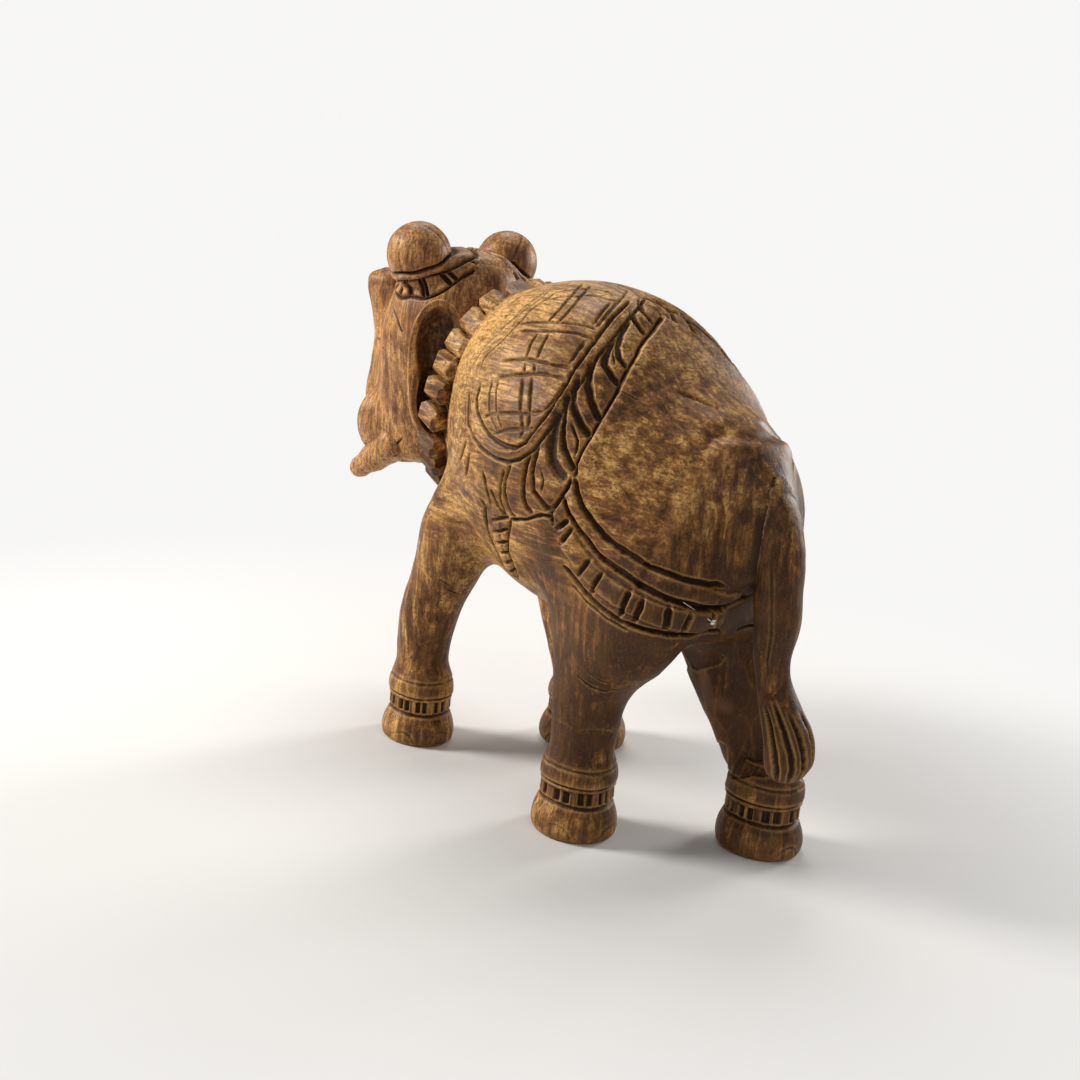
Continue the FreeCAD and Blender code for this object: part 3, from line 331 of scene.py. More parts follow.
    ("bb1", 1.5, 2.4, [(69.7, 64.9, 161.2), (70.2, 62.1, 157), (70.5, 59, 152.5)]),
    ("bb2", 1.5, 2.4, [(66.1, 76.9, 148.8), (66.8, 73.8, 144.1), (67.3, 70.4, 139.6)]),
    ("bb3", 1.5, 2.4, [(64.7, 85.2, 144.1), (65.8, 82.3, 138.8), (66.6, 79.5, 133.1)]),
    ("bb4", 1.5, 2.4, [(61, 100.7, 139.3), (62.3, 99.5, 133.2), (63.4, 97.9, 127.1)]),
    ("bb5", 1.5, 2.4, [(57.8, 107, 137.1), (59.1, 106.4, 131.5), (60.4, 105, 126)]),
    ("bb6", 1.5, 2.4, [(51, 117.1, 135.7), (51.2, 116.9, 129.7), (51.3, 116.2, 123.5)]),
    ("bb7", 1.5, 2.4, [(42.1, 121.6, 132.7), (43, 120.9, 128), (43.7, 119.8, 123.3)]),
    ("bb8", 1.5, 2.4, [(23.8, 119.3, 130.8), (21.7, 116.9, 125.6), (18.8, 113.8, 119.8)]),
    ("b_in", 0.5, 0.6, [(66.2, 74.7, 159.3), (65, 78.7, 157.2), (63.8, 83.4, 155.1), (62.8, 87.7, 153.1), (61.4, 92.9, 151.7), (59.9, 97.8, 150.1), (58, 102.6, 148.7), (55.3, 107, 147.6), (53.5, 111.6, 146.1), (50.8, 115.8, 145), (47.2, 118.9, 144.5), (43, 121.2, 143.8), (37.8, 122.8, 142.8)]),
    ("wr1", 0.9, 1.1, [(38.7, -151.9, 244.8), (40.6, -144, 239.8), (40.8, -138.5, 232.9), (52.2, -110.1, 230.5)]),
    ("eye1", 1, 1.2, [(13.8, -206.3, 229), (36.2, -164.1, 228)]),
    ("eye2", 1, 1.2, [(14.4, -204.5, 221.4), (37.2, -160.6, 219.7)]),
    ("eye3", 0.6, 0.7, [(37.9, -159.9, 230.6), (40.2, -147.3, 223.3)]),
    ("cheek", 0.8, 0.9, [(31, -185, 157.2), (34, -169.8, 156), (31.4, -158.8, 156), (28.7, -152.4, 161.1), (28.7, -145, 167.5)]),
    ("tailg", 1.6, 1.6, [(23.4, 104.9, 207.8), (24.7, 111.5, 203.4), (22.6, 115.1, 198.5), (20.8, 117.7, 194.1), (18.5, 120.5, 189.3), (17.3, 122.6, 184.6), (15.6, 124.7, 179.2), (14.6, 126, 174.6), (14.1, 127.2, 169.7), (13.3, 127.1, 164.6), (12.5, 127.1, 159.5), (12.5, 126.4, 153.9), (11.6, 125.5, 148.2), (9.8, 124.2, 142.4), (7.1, 122.3, 136.2)]),
]
LEFT_GROOVES = [
    ("hip", 1.3, 2, [(20.7, 77.4, 229.6), (17.5, 80.8, 228.2), (14.6, 84.5, 226.6), (12.2, 88.3, 225), (10, 91.9, 223.3), (9.1, 96.2, 221)]),
    ("hip2", 0.5, 0.8, [(46.9, 63.5, 227.3), (44.2, 67.1, 225.9), (41.8, 70.5, 224.5)]),
    ("hip3", 0.5, 0.7, [(37.5, 55.7, 240.7), (34.8, 58.8, 239.6), (32.1, 60.3, 239.6)]),
    ("knee1", 0.9, 1, [(62.9, 73.7, 89), (59.7, 79.5, 85.2), (54.5, 85.1, 83.6), (50.6, 90, 85.7)]),
    ("knee2", 0.7, 0.8, [(62.9, 80.6, 93.4), (59.1, 85.8, 90), (55.4, 90.1, 89.4)]),
    ("fl1", 0.7, 0.9, [(56.1, -56.2, 103), (51.4, -53.6, 100.4)]),
    ("fl2", 0.7, 0.9, [(51, -54.9, 97.2), (43.9, -54.2, 94.5)]),
]

# raised lines (name, half width, height, points are filled in from the carved lines below)


# ---------------------------------------------------------------- noise
def lattice(P, size, seed):
    """smooth value noise in -1..1 with features about `size` mm"""
    q = P / size
    i = np.floor(q).astype(np.int64)
    f = (q - i).astype(F4)
    f = f * f * (3 - 2 * f)
    out = 0
    for dx in (0, 1):
        for dy in (0, 1):
            for dz in (0, 1):
                h = ((i[:, 0] + dx) * 73856093) ^ ((i[:, 1] + dy) * 19349663) ^ ((i[:, 2] + dz) * 83492791) ^ (seed * 2654435761)
                h = (h ^ (h >> 13)) * 1274126177
                v = ((h ^ (h >> 16)) & 0xFFFF).astype(F4) / 32767.5 - 1
                w = (f[:, 0] if dx else 1 - f[:, 0]) * (f[:, 1] if dy else 1 - f[:, 1]) * (f[:, 2] if dz else 1 - f[:, 2])
                out = out + v * w
    return out


def sstep(a, b, x):
    t = np.clip((x - a) / (b - a), 0, 1)
    return t * t * (3 - 2 * t)


def track(X, pts, NX=None):
    """distance to a polyline, distance run along it, side (left of travel positive), total length"""
    pts = np.asarray(pts, F4)
    best = np.full(len(X), F4(1e9)); run = np.zeros(len(X), F4); side = np.zeros(len(X), F4)
    s0 = 0.0
    for a, b in zip(pts[:-1], pts[1:]):
        ab = b - a; L = float(np.sqrt(ab @ ab)) + 1e-6
        t = np.clip(((X - a) @ ab) / (L * L), 0, 1)
        v = X - a - t[:, None] * ab
        d = np.sqrt((v * v).sum(1))
        m = d < best
        best[m] = d[m]; run[m] = s0 + t[m] * L
        if NX is not None:
            side[m] = (np.cross(ab / L, v[m]) * NX[m]).sum(1)
        s0 += L
    return best, run, side, s0


def near(X, pts, r):
    pts = np.asarray(pts, F4)
    return np.flatnonzero(((X > pts.min(0) - r) & (X < pts.max(0) + r)).all(1))


LINES = {g[0]: g for g in GROOVES}


def between(a, b, n=14, t=0.5):
    """a line part way between two carved lines"""
    def res(p):
        p = np.asarray(p, float); s = np.r_[0, np.cumsum(np.linalg.norm(np.diff(p, axis=0), axis=1))]
        u = np.linspace(0, s[-1], n)
        return np.stack([np.interp(u, s, p[:, i]) for i in range(3)], 1)
    return res(LINES[a][3]) * (1 - t) + res(LINES[b][3]) * t


RIDGES = [
    ("cord_crest", 1.3, 0.75, LINES["cordmid"][3]),
    ("breech_cord", 4.6, 1.5, between("b_top", "b_low")),
    ("breech_band", 6.2, 2.4, between("b_low", "b_bot")),
    ("girth_band", 3.6, 1.0, between("gl", "gr")),
]
def stronger(g):
    """workshop cuts: plaid lines are shallow channels, everything in the fringe and straps is cut deep"""
    n, w, d, p = g
    if n[0] in "hv":
        return (n, w * 1.30, d * 1.25, p)
    if n[:4] == "edge":
        return (n, w * 1.1, d * 1.2, p)
    if n[:3] in ("eye", "wr1", "che"):
        return (n, w * 1.25, d * 1.3, p)
    return (n, w * 1.38, d * 1.65, p)


def longer(g):
    """the straps around the rear run on under the tail"""
    n, w, d, p = g
    if n not in ("b_top", "b_low", "b_bot"):
        return g
    p = np.asarray(p, float); e = p[-1] - p[-2]; e /= np.linalg.norm(e)
    return (n, w, d, np.vstack([p, p[-1] + e * 5.0, p[-1] + e * 11.0]))


GROOVES = [longer(g) for g in GROOVES]
CARVED = [stronger(g) for g in GROOVES if g[0] not in ("cordmid", "b_in")]
LEFT_GROOVES = [(n, w * (1.7 if n == "hip" else 1.1), d * (1.8 if n == "hip" else 1.2), p) for n, w, d, p in LEFT_GROOVES]

# crown domes: axis leans outward, collar ring and a band of blocks under each
DOME_C = np.array([32.5, -138, 277.5]); DOME_A = np.array([0.4656, 0.0, 0.885])


def crown(X, NX):
    """collar and block band round a crown dome: returns depth cut (positive inward)"""
    cut = np.zeros(len(X), F4)
    u = np.cross(DOME_A, [0, 1, 0]); u /= np.linalg.norm(u); v = np.cross(DOME_A, u)
    q = X - DOME_C
    h = q @ DOME_A; a, b = q @ u, q @ v
    r = np.sqrt(a * a + b * b); th = np.arctan2(b, a)
    on = (r < 34) & (h > -34) & (h < 22)
    outw = on & (r > 8)
    g = lambda c, w, d: d * np.clip(1 - np.abs(h - c) / w, 0, 1)
    # the band follows the skull, so it gets lower where the skull spreads
    wob = 0.5 * np.sin(3 * th + 0.7) + 0.3 * np.sin(7 * th)
    h = h + wob
    ring = np.maximum(g(-3.9, 1.5, 2.3), g(-8.8, 1.3, 2.1))
    low = -19.5 + 6.0 * sstep(20, 30, r)
    ring = np.maximum(ring, 2.0 * np.clip(1 - np.abs(h - low) / 1.5, 0, 1))
    inband = (h < -8.6) & (h > low)
    # paired notches between blocks
    n = 10
    ph = (th / (2 * np.pi) * n + 0.10 * np.sin(2 * th + 1) + 0.05 * np.sin(5 * th)) % 1.0
    arc = 2 * np.pi * r / n
    notch = np.minimum(np.abs(ph - 0.30), np.abs(ph - 0.52)) * arc
    notch = np.minimum(notch, np.minimum(np.abs(ph - 1.30), np.abs(ph + 0.48)) * arc)
    cutn = 2.9 * np.clip(1.4 * (1 - notch / 1.5), 0, 1) * sstep(-8.4, -9.6, h) * sstep(low - 0.2, low + 1.4, h)
    cut = np.maximum(ring, np.where(inband, cutn, 0))
    # lift collar and band a little
    lift = 1.3 * np.exp(-((h + 6.3) / 1.9) ** 2) + 1.3 * sstep(-8.6, -10, h) * sstep(low - 0.4, low + 1.5, h)
    # two faceting lines over the dome
    m1 = np.abs(a * math.cos(0.5) + b * math.sin(0.5)); m2 = np.abs(a * math.cos(1.9) + b * math.sin(1.9))
    dome = (h > -2.6) * sstep(17.5, 15.5, h)
    line = 0.9 * np.clip(1 - np.minimum(m1, m2 + 0.2) / 1.0, 0, 1) * dome
    out = np.where(outw, np.maximum(cut, line) - lift, 0)
    return out.astype(F4), np.where(outw, np.maximum(cut, line), 0).astype(F4), on


def anklet(P, N, leg, foot, nail_phase):
    """notched band, ring lines and toenails on a foot"""
    x, y, rx, ry = foot
    q = P - np.array([x, y, 0], F4)
    z = P[:, 2]; th = np.arctan2(q[:, 1] / ry, q[:, 0] / rx)
    R = (rx + ry) / 2
    cut = np.zeros(len(P), F4)
    g = lambda c, w, d: d * np.clip(1 - np.abs(z + 0.35 * np.sin(3 * th + x) - c) / w, 0, 1)
    cut = np.maximum.reduce([g(18.2, 1.5, 1.5), g(27.8, 1.5, 1.7), g(37.5, 1.0, 0.8)])
    n = 9
    ph = (th / (2 * np.pi) * n + 0.13 * np.sin(2 * th + y)) % 1.0
    arc = 2 * np.pi * R * 0.86 / n
    kk = np.floor(th / (2 * np.pi) * n + 0.13 * np.sin(2 * th + y))
    jt = 0.07 * np.sin(kk * 12.9898 + x)
    d = np.minimum(np.abs(ph - 0.30 - jt), np.abs(ph - 0.66 - 0.5 * jt)) * arc
    notch = 2.4 * np.clip(1.7 * (1 - d / (1.75 + 6 * np.abs(jt))), 0, 1) * sstep(19.2, 20.6, z + 0.5 * np.sin(kk * 3.1)) * sstep(26.4, 25.0, z + 0.5 * np.sin(kk * 5.3))
    cut = np.maximum(cut, notch)
    # toenails, wide arcs standing on the ground line
    m = 5
    ph = (th / (2 * np.pi) * m + nail_phase + 0.09 * np.sin(2 * th + 2 * y)) % 1.0 - 0.5
    s = ph * 2 * np.pi * R / m
    rr = np.sqrt((s * 0.92) ** 2 + (z - 0.5) ** 2)
    rr = rr + 1.1 * np.sin(3.1 * th + x) + 0.5 * np.sin(7.3 * th)
    nail = 0.55 * np.clip(1 - np.abs(rr - 7.4) / 1.0, 0, 1) * (z < 11) * (0.55 + 0.45 * np.sin(2.0 * th + 0.3 * y))
    cut = np.maximum(cut, nail)
    return cut * (z < 48)


def facets(P, N, count, seed, size):
    """flat knife cuts: pull each point part way to the tangent plane of its nearest cut centre"""
    rng = np.random.default_rng(seed)
    idx = rng.permutation(len(P))[: count * 8]
    keep = []
    for i in idx:
        if all(((P[i] - P[j]) ** 2).sum() > (size * 0.8) ** 2 for j in keep):
            keep.append(i)
        if len(keep) >= count:
            break
    C = P[keep]; NC = N[keep]
    t = np.full(len(P), F4(0.35)); second = t.copy()
    for k in range(len(C)):
        c = C[k] - 0.75 * NC[k]
        q = P - C[k]
        nn = N @ NC[k]
        near_ = ((q * q).sum(1) < 20.0 ** 2) & (nn > 0.45)
        away = 0.024 * np.maximum(np.sqrt((q * q).sum(1)) - 5.5, 0) ** 2
        v = np.where(near_, ((c - P) @ NC[k]) / np.maximum(nn, 0.45) + away, 9.0)
        m = v < t
        second = np.where(m, t, np.minimum(second, v)); t = np.where(m, v, t)
    return np.clip(t, -1.9, 0.35), (second - t)


def on_right(rows):
    """slide the mirrored lines onto the right side, where the thigh stands differently"""
    sizes = [len(r) for r in rows]
    Q = np.concatenate([np.asarray(r, F4) for r in rows]) * np.array([-1, 1, 1], F4)
    S = Q.copy()
    for _ in range(8):
        d = fieldf(S)
        g = np.stack([fieldf(S + e) - fieldf(S - e) for e in 0.5 * np.eye(3, dtype=F4)], 1)
        g /= np.linalg.norm(g, axis=1, keepdims=True) + 1e-6
        S = (S - np.clip(d, -2.5, 2.5)[:, None] * g).astype(F4)
    far = np.linalg.norm(S - Q, axis=1) > 22
    S[far] = Q[far]; S[:, 0] = np.maximum(-S[:, 0], 0)
    return np.split(S, np.cumsum(sizes)[:-1])


def relief(P, N):
    """how far each point moves along its normal, and how much dark wash and painted shade sits on it"""
    X = P.copy(); X[:, 0] = np.abs(X[:, 0]); NX = N.copy(); NX[:, 0] *= np.sign(P[:, 0] + 1e-9)
    jit = 0.22 * lattice(P, 4.0, 3) + 0.12 * lattice(P, 1.7, 4)
    cut = np.zeros(len(P), F4); up = np.zeros(len(P), F4); wash_and_painted_shade = np.zeros(len(P), F4)

    def carve(Y, rows, NY, only=None):
        for name, w, d, pts in rows:
            sel = near(Y, pts, w * 3.2 + 2)
            if only is not None:
                sel = sel[only[sel]]
            if not len(sel):
                continue
            dist, run, side, L = track(Y[sel], pts)
            taper = np.minimum(1, np.minimum(0.30 + run / 3.5, 0.30 + (L - run) / 3.5))
            e = dist + jit[sel] * min(w, 1.2)
            ww = w * (0.75 + 0.25 * taper)
            core = np.clip(1.5 * (1 - e / ww), 0, 1)
            soft = np.clip(1 - e / (ww * 2.4), 0, 1) ** 2
            c = d * taper * (0.80 * core + 0.20 * soft)
            facing = sstep(-0.2, 0.25, (NY[sel] * NY[sel]).sum(1))
            cut[sel] = np.maximum(cut[sel], c * facing)
            dark = 0.58 if name[0] in "hv" or name[:4] == "edge" else 0.88
            wash_and_painted_shade[sel] = np.maximum(wash_and_painted_shade[sel], taper * dark * np.clip(1.5 * (1 - e / (ww * 1.12)), 0, 1))
            wash_and_painted_shade[sel] = np.maximum(wash_and_painted_shade[sel], 0.38 * taper * soft * dark)

    left = P[:, 0] > 0
    right_rows = on_right([g[3] for g in CARVED] + [g[3] for g in RIDGES] + [LINES["rump"][3]])
    carved_r = [(g[0], g[1], g[2], p) for g, p in zip(CARVED, right_rows)]
    ridges_r = [(g[0], g[1], g[2], p) for g, p in zip(RIDGES, right_rows[len(CARVED):])]
    carve(X, CARVED, NX, left)
    carve(X, carved_r, NX, ~left)
    carve(P, LEFT_GROOVES, N, left)
    for mine, ridges, rump in ((left, RIDGES, LINES["rump"][3]), (~left, ridges_r, right_rows[-1])):
        for name, w, hgt, pts in ridges:
            sel = near(X, pts, w + 1); sel = sel[mine[sel]]
            if not len(sel):
                continue
            dist, run, side, L = track(X[sel], pts)
            t = np.clip(dist / w, 0, 1)
            shape = (1 - t) if name == "cord_crest" else np.sqrt(np.clip(1 - t ** 3, 0, 1)) * sstep(1.0, 0.75, t)
            taper = np.clip(np.minimum(run, L - run) / 4, 0, 1)
            up[sel] = np.maximum(up[sel], hgt * shape * taper)
        # the fringe lies lower than the rump behind it
        sel = near(X, rump, 16); sel = sel[mine[sel]]
        if not len(sel):
            continue
        dist, run, side, L = track(X[sel], rump, NX[sel])
        up[sel] -= 1.7 * sstep(0.5, -0.5, side) * np.exp(-(dist / 8.0) ** 2) * np.clip(np.minimum(run, L - run) / 6, 0, 1)
        up[sel] += 0.8 * sstep(-0.5, 0.5, side) * np.exp(-((dist - 2) / 5.0) ** 2) * np.clip(np.minimum(run, L - run) / 6, 0, 1)
    # crown
    head = X[:, 2] > 236
    idx = np.flatnonzero(head & (X[:, 1] < -98))
    c, dk, on = crown(X[idx], NX[idx])
    up[idx] -= np.minimum(c, 0) * -1 * 0 + c
    wash_and_painted_shade[idx] = np.maximum(wash_and_painted_shade[idx], np.clip(dk / 1.5, 0, 1))
    # painted shade on the neck under and between the necklace blocks
    q = P - RC
    s = q @ JN; uu = q @ JU
    rad = np.sqrt((q[:, 0] / (RX + 1)) ** 2 + (uu / (RU + 1)) ** 2)
    ring = (np.abs(s) < 11) & (rad < 1.30) & (rad > 0.8)
    wash_and_painted_shade = np.where(ring, np.maximum(wash_and_painted_shade, 0.85 * sstep(1.09, 1.00, rad) * sstep(11, 8, np.abs(s))), wash_and_painted_shade)
    # feet
    for k, ph in (("FL", 0.2), ("FR", 0.35), ("RL", 0.1), ("RR", 0.45)):
        x, y, rx, ry = FEET[k]
        idx = np.flatnonzero((P[:, 2] < 48) & (P[:, 0] * x > 0) & (np.abs(P[:, 1] - y) < 32))
        c = anklet(P[idx], N[idx], k, FEET[k], ph)
        c = c * sstep(0.5, 0.15, -N[idx][:, 2])
        cut[idx] = np.maximum(cut[idx], c)
        wash_and_painted_shade[idx] = np.maximum(wash_and_painted_shade[idx], np.clip(c / 1.3, 0, 1) * 0.9)
    # knife facets: strong inside the legs and under the belly, light on the shins
    for k, amt, cnt, seed in (("RR", 0.50, 46, 11), ("FR", 0.40, 40, 12), ("RL", 0.16, 44, 13), ("FL", 0.14, 40, 14)):
        x = FEET[k][0]
        side = np.sign(x)
        idx = np.flatnonzero((P[:, 2] > 29) & (P[:, 2] < 112) & (P[:, 0] * x > 0) & ((P[:, 1] > 0) == (k[0] == "R")))
        if not len(idx):
            continue
        off, edge = facets(P[idx], N[idx], cnt, seed, 13.0)
        inner = sstep(0.35, -0.45, N[idx][:, 0] * side)
        fade = sstep(29, 38, P[idx][:, 2]) * sstep(112, 98, P[idx][:, 2])
        base = 0.08 if k != "RR" else 0.34
        up[idx] += off * (base + (amt - base) * inner) * fade
        up[idx] += 0.45 * (base + (amt - base) * inner) * fade
    # hand wobble
    flat = sstep(0.0, 4.0, P[:, 2])
    up += (0.38 * lattice(P, 17.0, 5) + 0.16 * lattice(P, 7.0, 6)) * flat
    disp = up - cut
    # nothing below the ground
    disp = np.where((P[:, 2] < 1.0) & (N[:, 2] < -0.5), 0, disp)
    return disp.astype(F4), np.clip(wash_and_painted_shade, 0, 1).astype(F4)


# ---------------------------------------------------------------- mesh tools
def refine(V, Q, mark):
    """split marked quads in four; neighbours take the extra corner, so the surface stays closed"""
    n = len(V)
    E = np.stack([Q, np.roll(Q, -1, 1)], -1)
    lo = E.min(-1).astype(np.int64); hi = E.max(-1).astype(np.int64)
    key = lo * n + hi
    keys = np.unique(key[mark])
    mids = (V[keys // n] + V[keys % n]) / 2
    pos = np.searchsorted(keys, key); pos = np.clip(pos, 0, len(keys) - 1)
    has = keys[pos] == key
    mid = np.where(has, n + pos, -1)
    m = np.flatnonzero(mark)
    cen = V[Q[m]].mean(1); cid = n + len(keys) + np.arange(len(m))
    V2 = np.concatenate([V, mids, cen])
    q, e = Q[m], mid[m]
    sub = np.stack([np.stack([q[:, i], e[:, i], cid, e[:, i - 1]], 1) for i in range(4)], 1).reshape(-1, 4)
    rest = np.flatnonzero(~mark)
    cnt = has[rest].sum(1)
    plain = Q[rest[cnt == 0]]
    groups = [np.concatenate([sub, plain])]
    tr = rest[cnt > 0]
    inter = np.stack([Q[tr], mid[tr]], -1).reshape(len(tr), 8)
    k = (inter >= 0).sum(1)
    for c in range(5, 9):
        r = inter[k == c]
        if len(r):
            groups.append(r[r >= 0].reshape(-1, c))
    return V2.astype(F4), groups


def vertex_avg(n, groups):
    """neighbour sums over polygon edges, for smoothing"""
    A = np.concatenate([g.reshape(-1) for g in groups]); B = np.concatenate([np.roll(g, -1, 1).reshape(-1) for g in groups])
    deg = np.bincount(A, minlength=n) + np.bincount(B, minlength=n)

    def avg(f):
        out = np.stack([np.bincount(A, f[B, i], n) + np.bincount(B, f[A, i], n) for i in range(f.shape[1])], 1)
        return out / np.maximum(deg, 1)[:, None]
    return avg


def to_mesh(name, V, groups, attrs=None):
    me = bpy.data.meshes.new(name)
    loops = np.concatenate([g.reshape(-1) for g in groups]).astype(np.int32)
    tot = np.concatenate([np.full(len(g), g.shape[1], np.int32) for g in groups])
    start = np.r_[0, np.cumsum(tot)[:-1]].astype(np.int32)
    me.vertices.add(len(V)); me.vertices.foreach_set("co", V.astype(F4).ravel())
    me.loops.add(len(loops)); me.loops.foreach_set("vertex_index", loops)
    me.polygons.add(len(tot)); me.polygons.foreach_set("loop_start", start)
    for k, v in (attrs or {}).items():
        a = me.attributes.new(k, "FLOAT", "POINT"); a.data.foreach_set("value", v.astype(F4))
    me.update(calc_edges=True)
    me.polygons.foreach_set("use_smooth", np.ones(len(tot), bool))
    return me


def pick(V, groups, keepv, attrs):
    """the polygons with any corner in keepv, on their own vertices"""
    out = []
    for g in groups:
        m = keepv[g].any(1)
        if m.any():
            out.append(g[m])
    used = np.unique(np.concatenate([g.reshape(-1) for g in out]))
    remap = np.full(len(V), -1, np.int64); remap[used] = np.arange(len(used))
    return V[used], [remap[g] for g in out], {k: v[used] for k, v in attrs.items()}


def saw(me, cuts):
    """cut a mesh with planes [(point, outward normal, bores [(centre, radius, depth)])] and close each cut with a flat face"""
    bm = bmesh.new(); bm.from_mesh(me)
    for pt, nrm, bores in cuts:
        pt, nrm = Vector(pt), Vector(nrm).normalized()
        r = bmesh.ops.bisect_plane(bm, geom=bm.verts[:] + bm.edges[:] + bm.faces[:], dist=1e-5, plane_co=pt, plane_no=nrm, clear_outer=True, clear_inner=False)
        edges = [e for e in bm.edges if e.is_boundary and all(abs((v.co - pt).dot(nrm)) < 1e-3 for v in e.verts)]
        # ordered loops
        link = {}
        for e in edges:
            for v in e.verts:
                link.setdefault(v, []).append(e)
        seen, loops = set(), []
        for e in edges:
            if e in seen:
                continue
            loop, cur, v = [], e, e.verts[0]
            while cur is not None and cur not in seen:
                seen.add(cur); loop.append(v); v = cur.other_vert(v)
                cur = next((x for x in link[v] if x not in seen), None)
            loops.append(loop)
        u = nrm.orthogonal().normalized(); w = nrm.cross(u)
        flat = lambda p: Vector(((p - pt).dot(u), (p - pt).dot(w)))
        rings = []
        for c, rad, depth in bores:
            c = Vector(c); c = c - nrm * (c - pt).dot(nrm)
            n = 28
            ring = [bm.verts.new(c + (u * math.cos(2 * math.pi * i / n) + w * math.sin(2 * math.pi * i / n)) * rad) for i in range(n)]
            deep = [bm.verts.new(v.co - nrm * depth) for v in ring]
            for i in range(n):
                bm.faces.new((ring[i], deep[i], deep[(i + 1) % n], ring[(i + 1) % n]))
            bm.faces.new(list(reversed(deep)))
            rings.append(ring)
        allv, ed = [], []
        for lp in loops + rings:
            k = len(allv); allv += lp
            ed += [(k + i, k + (i + 1) % len(lp)) for i in range(len(lp))]
        res = geometry.delaunay_2d_cdt([flat(v.co) for v in allv], ed, [], 0, 1e-9)
        pts2, tris, origin = res[0], res[2], res[3]
        polys = [np.array([flat(v.co) for v in lp]) for lp in loops]
        holes = [np.array([flat(v.co) for v in lp]) for lp in rings]

        def inside(p, poly):
            x, y = p; a = poly; b = np.roll(poly, -1, 0)
            c = ((a[:, 1] > y) != (b[:, 1] > y)) & (x < (b[:, 0] - a[:, 0]) * (y - a[:, 1]) / (b[:, 1] - a[:, 1] + 1e-12) + a[:, 0])
            return c.sum() % 2 == 1
        cap = []
        for t in tris:
            c = sum((Vector(pts2[i]) for i in t), Vector((0, 0))) / len(t)
            if sum(inside(c, p) for p in polys) % 2 == 1 and not any(inside(c, h) for h in holes):
                vs = [allv[origin[i][0]] for i in t]
                if len(set(vs)) == 3:
                    f = bm.faces.get(vs) or bm.faces.new(vs)
                    f.smooth = False
                    f.normal_update()
                    if f.normal.dot(nrm) < 0:
                        f.normal_flip()
                    cap.append(f)
    bm.normal_update()
    bm.to_mesh(me); bm.free()
    return me


def place(name, me, nodes, mat, sharp=58):
    """put a finished mesh (mm, shaping origin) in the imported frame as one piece"""
    co = np.empty(len(me.vertices) * 3, F4); me.vertices.foreach_get("co", co)
    co = (co.reshape(-1, 3) + SHIFT) * 0.001
    me.vertices.foreach_set("co", co.astype(F4).ravel())
    me.update()
    me.set_sharp_from_angle(angle=math.radians(sharp))
    ob = bpy.data.objects.new(name, me)
    bpy.context.scene.collection.objects.link(ob)
    me.materials.append(mat)
    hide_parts(*nodes)
    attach(ob, "root")
    return ob


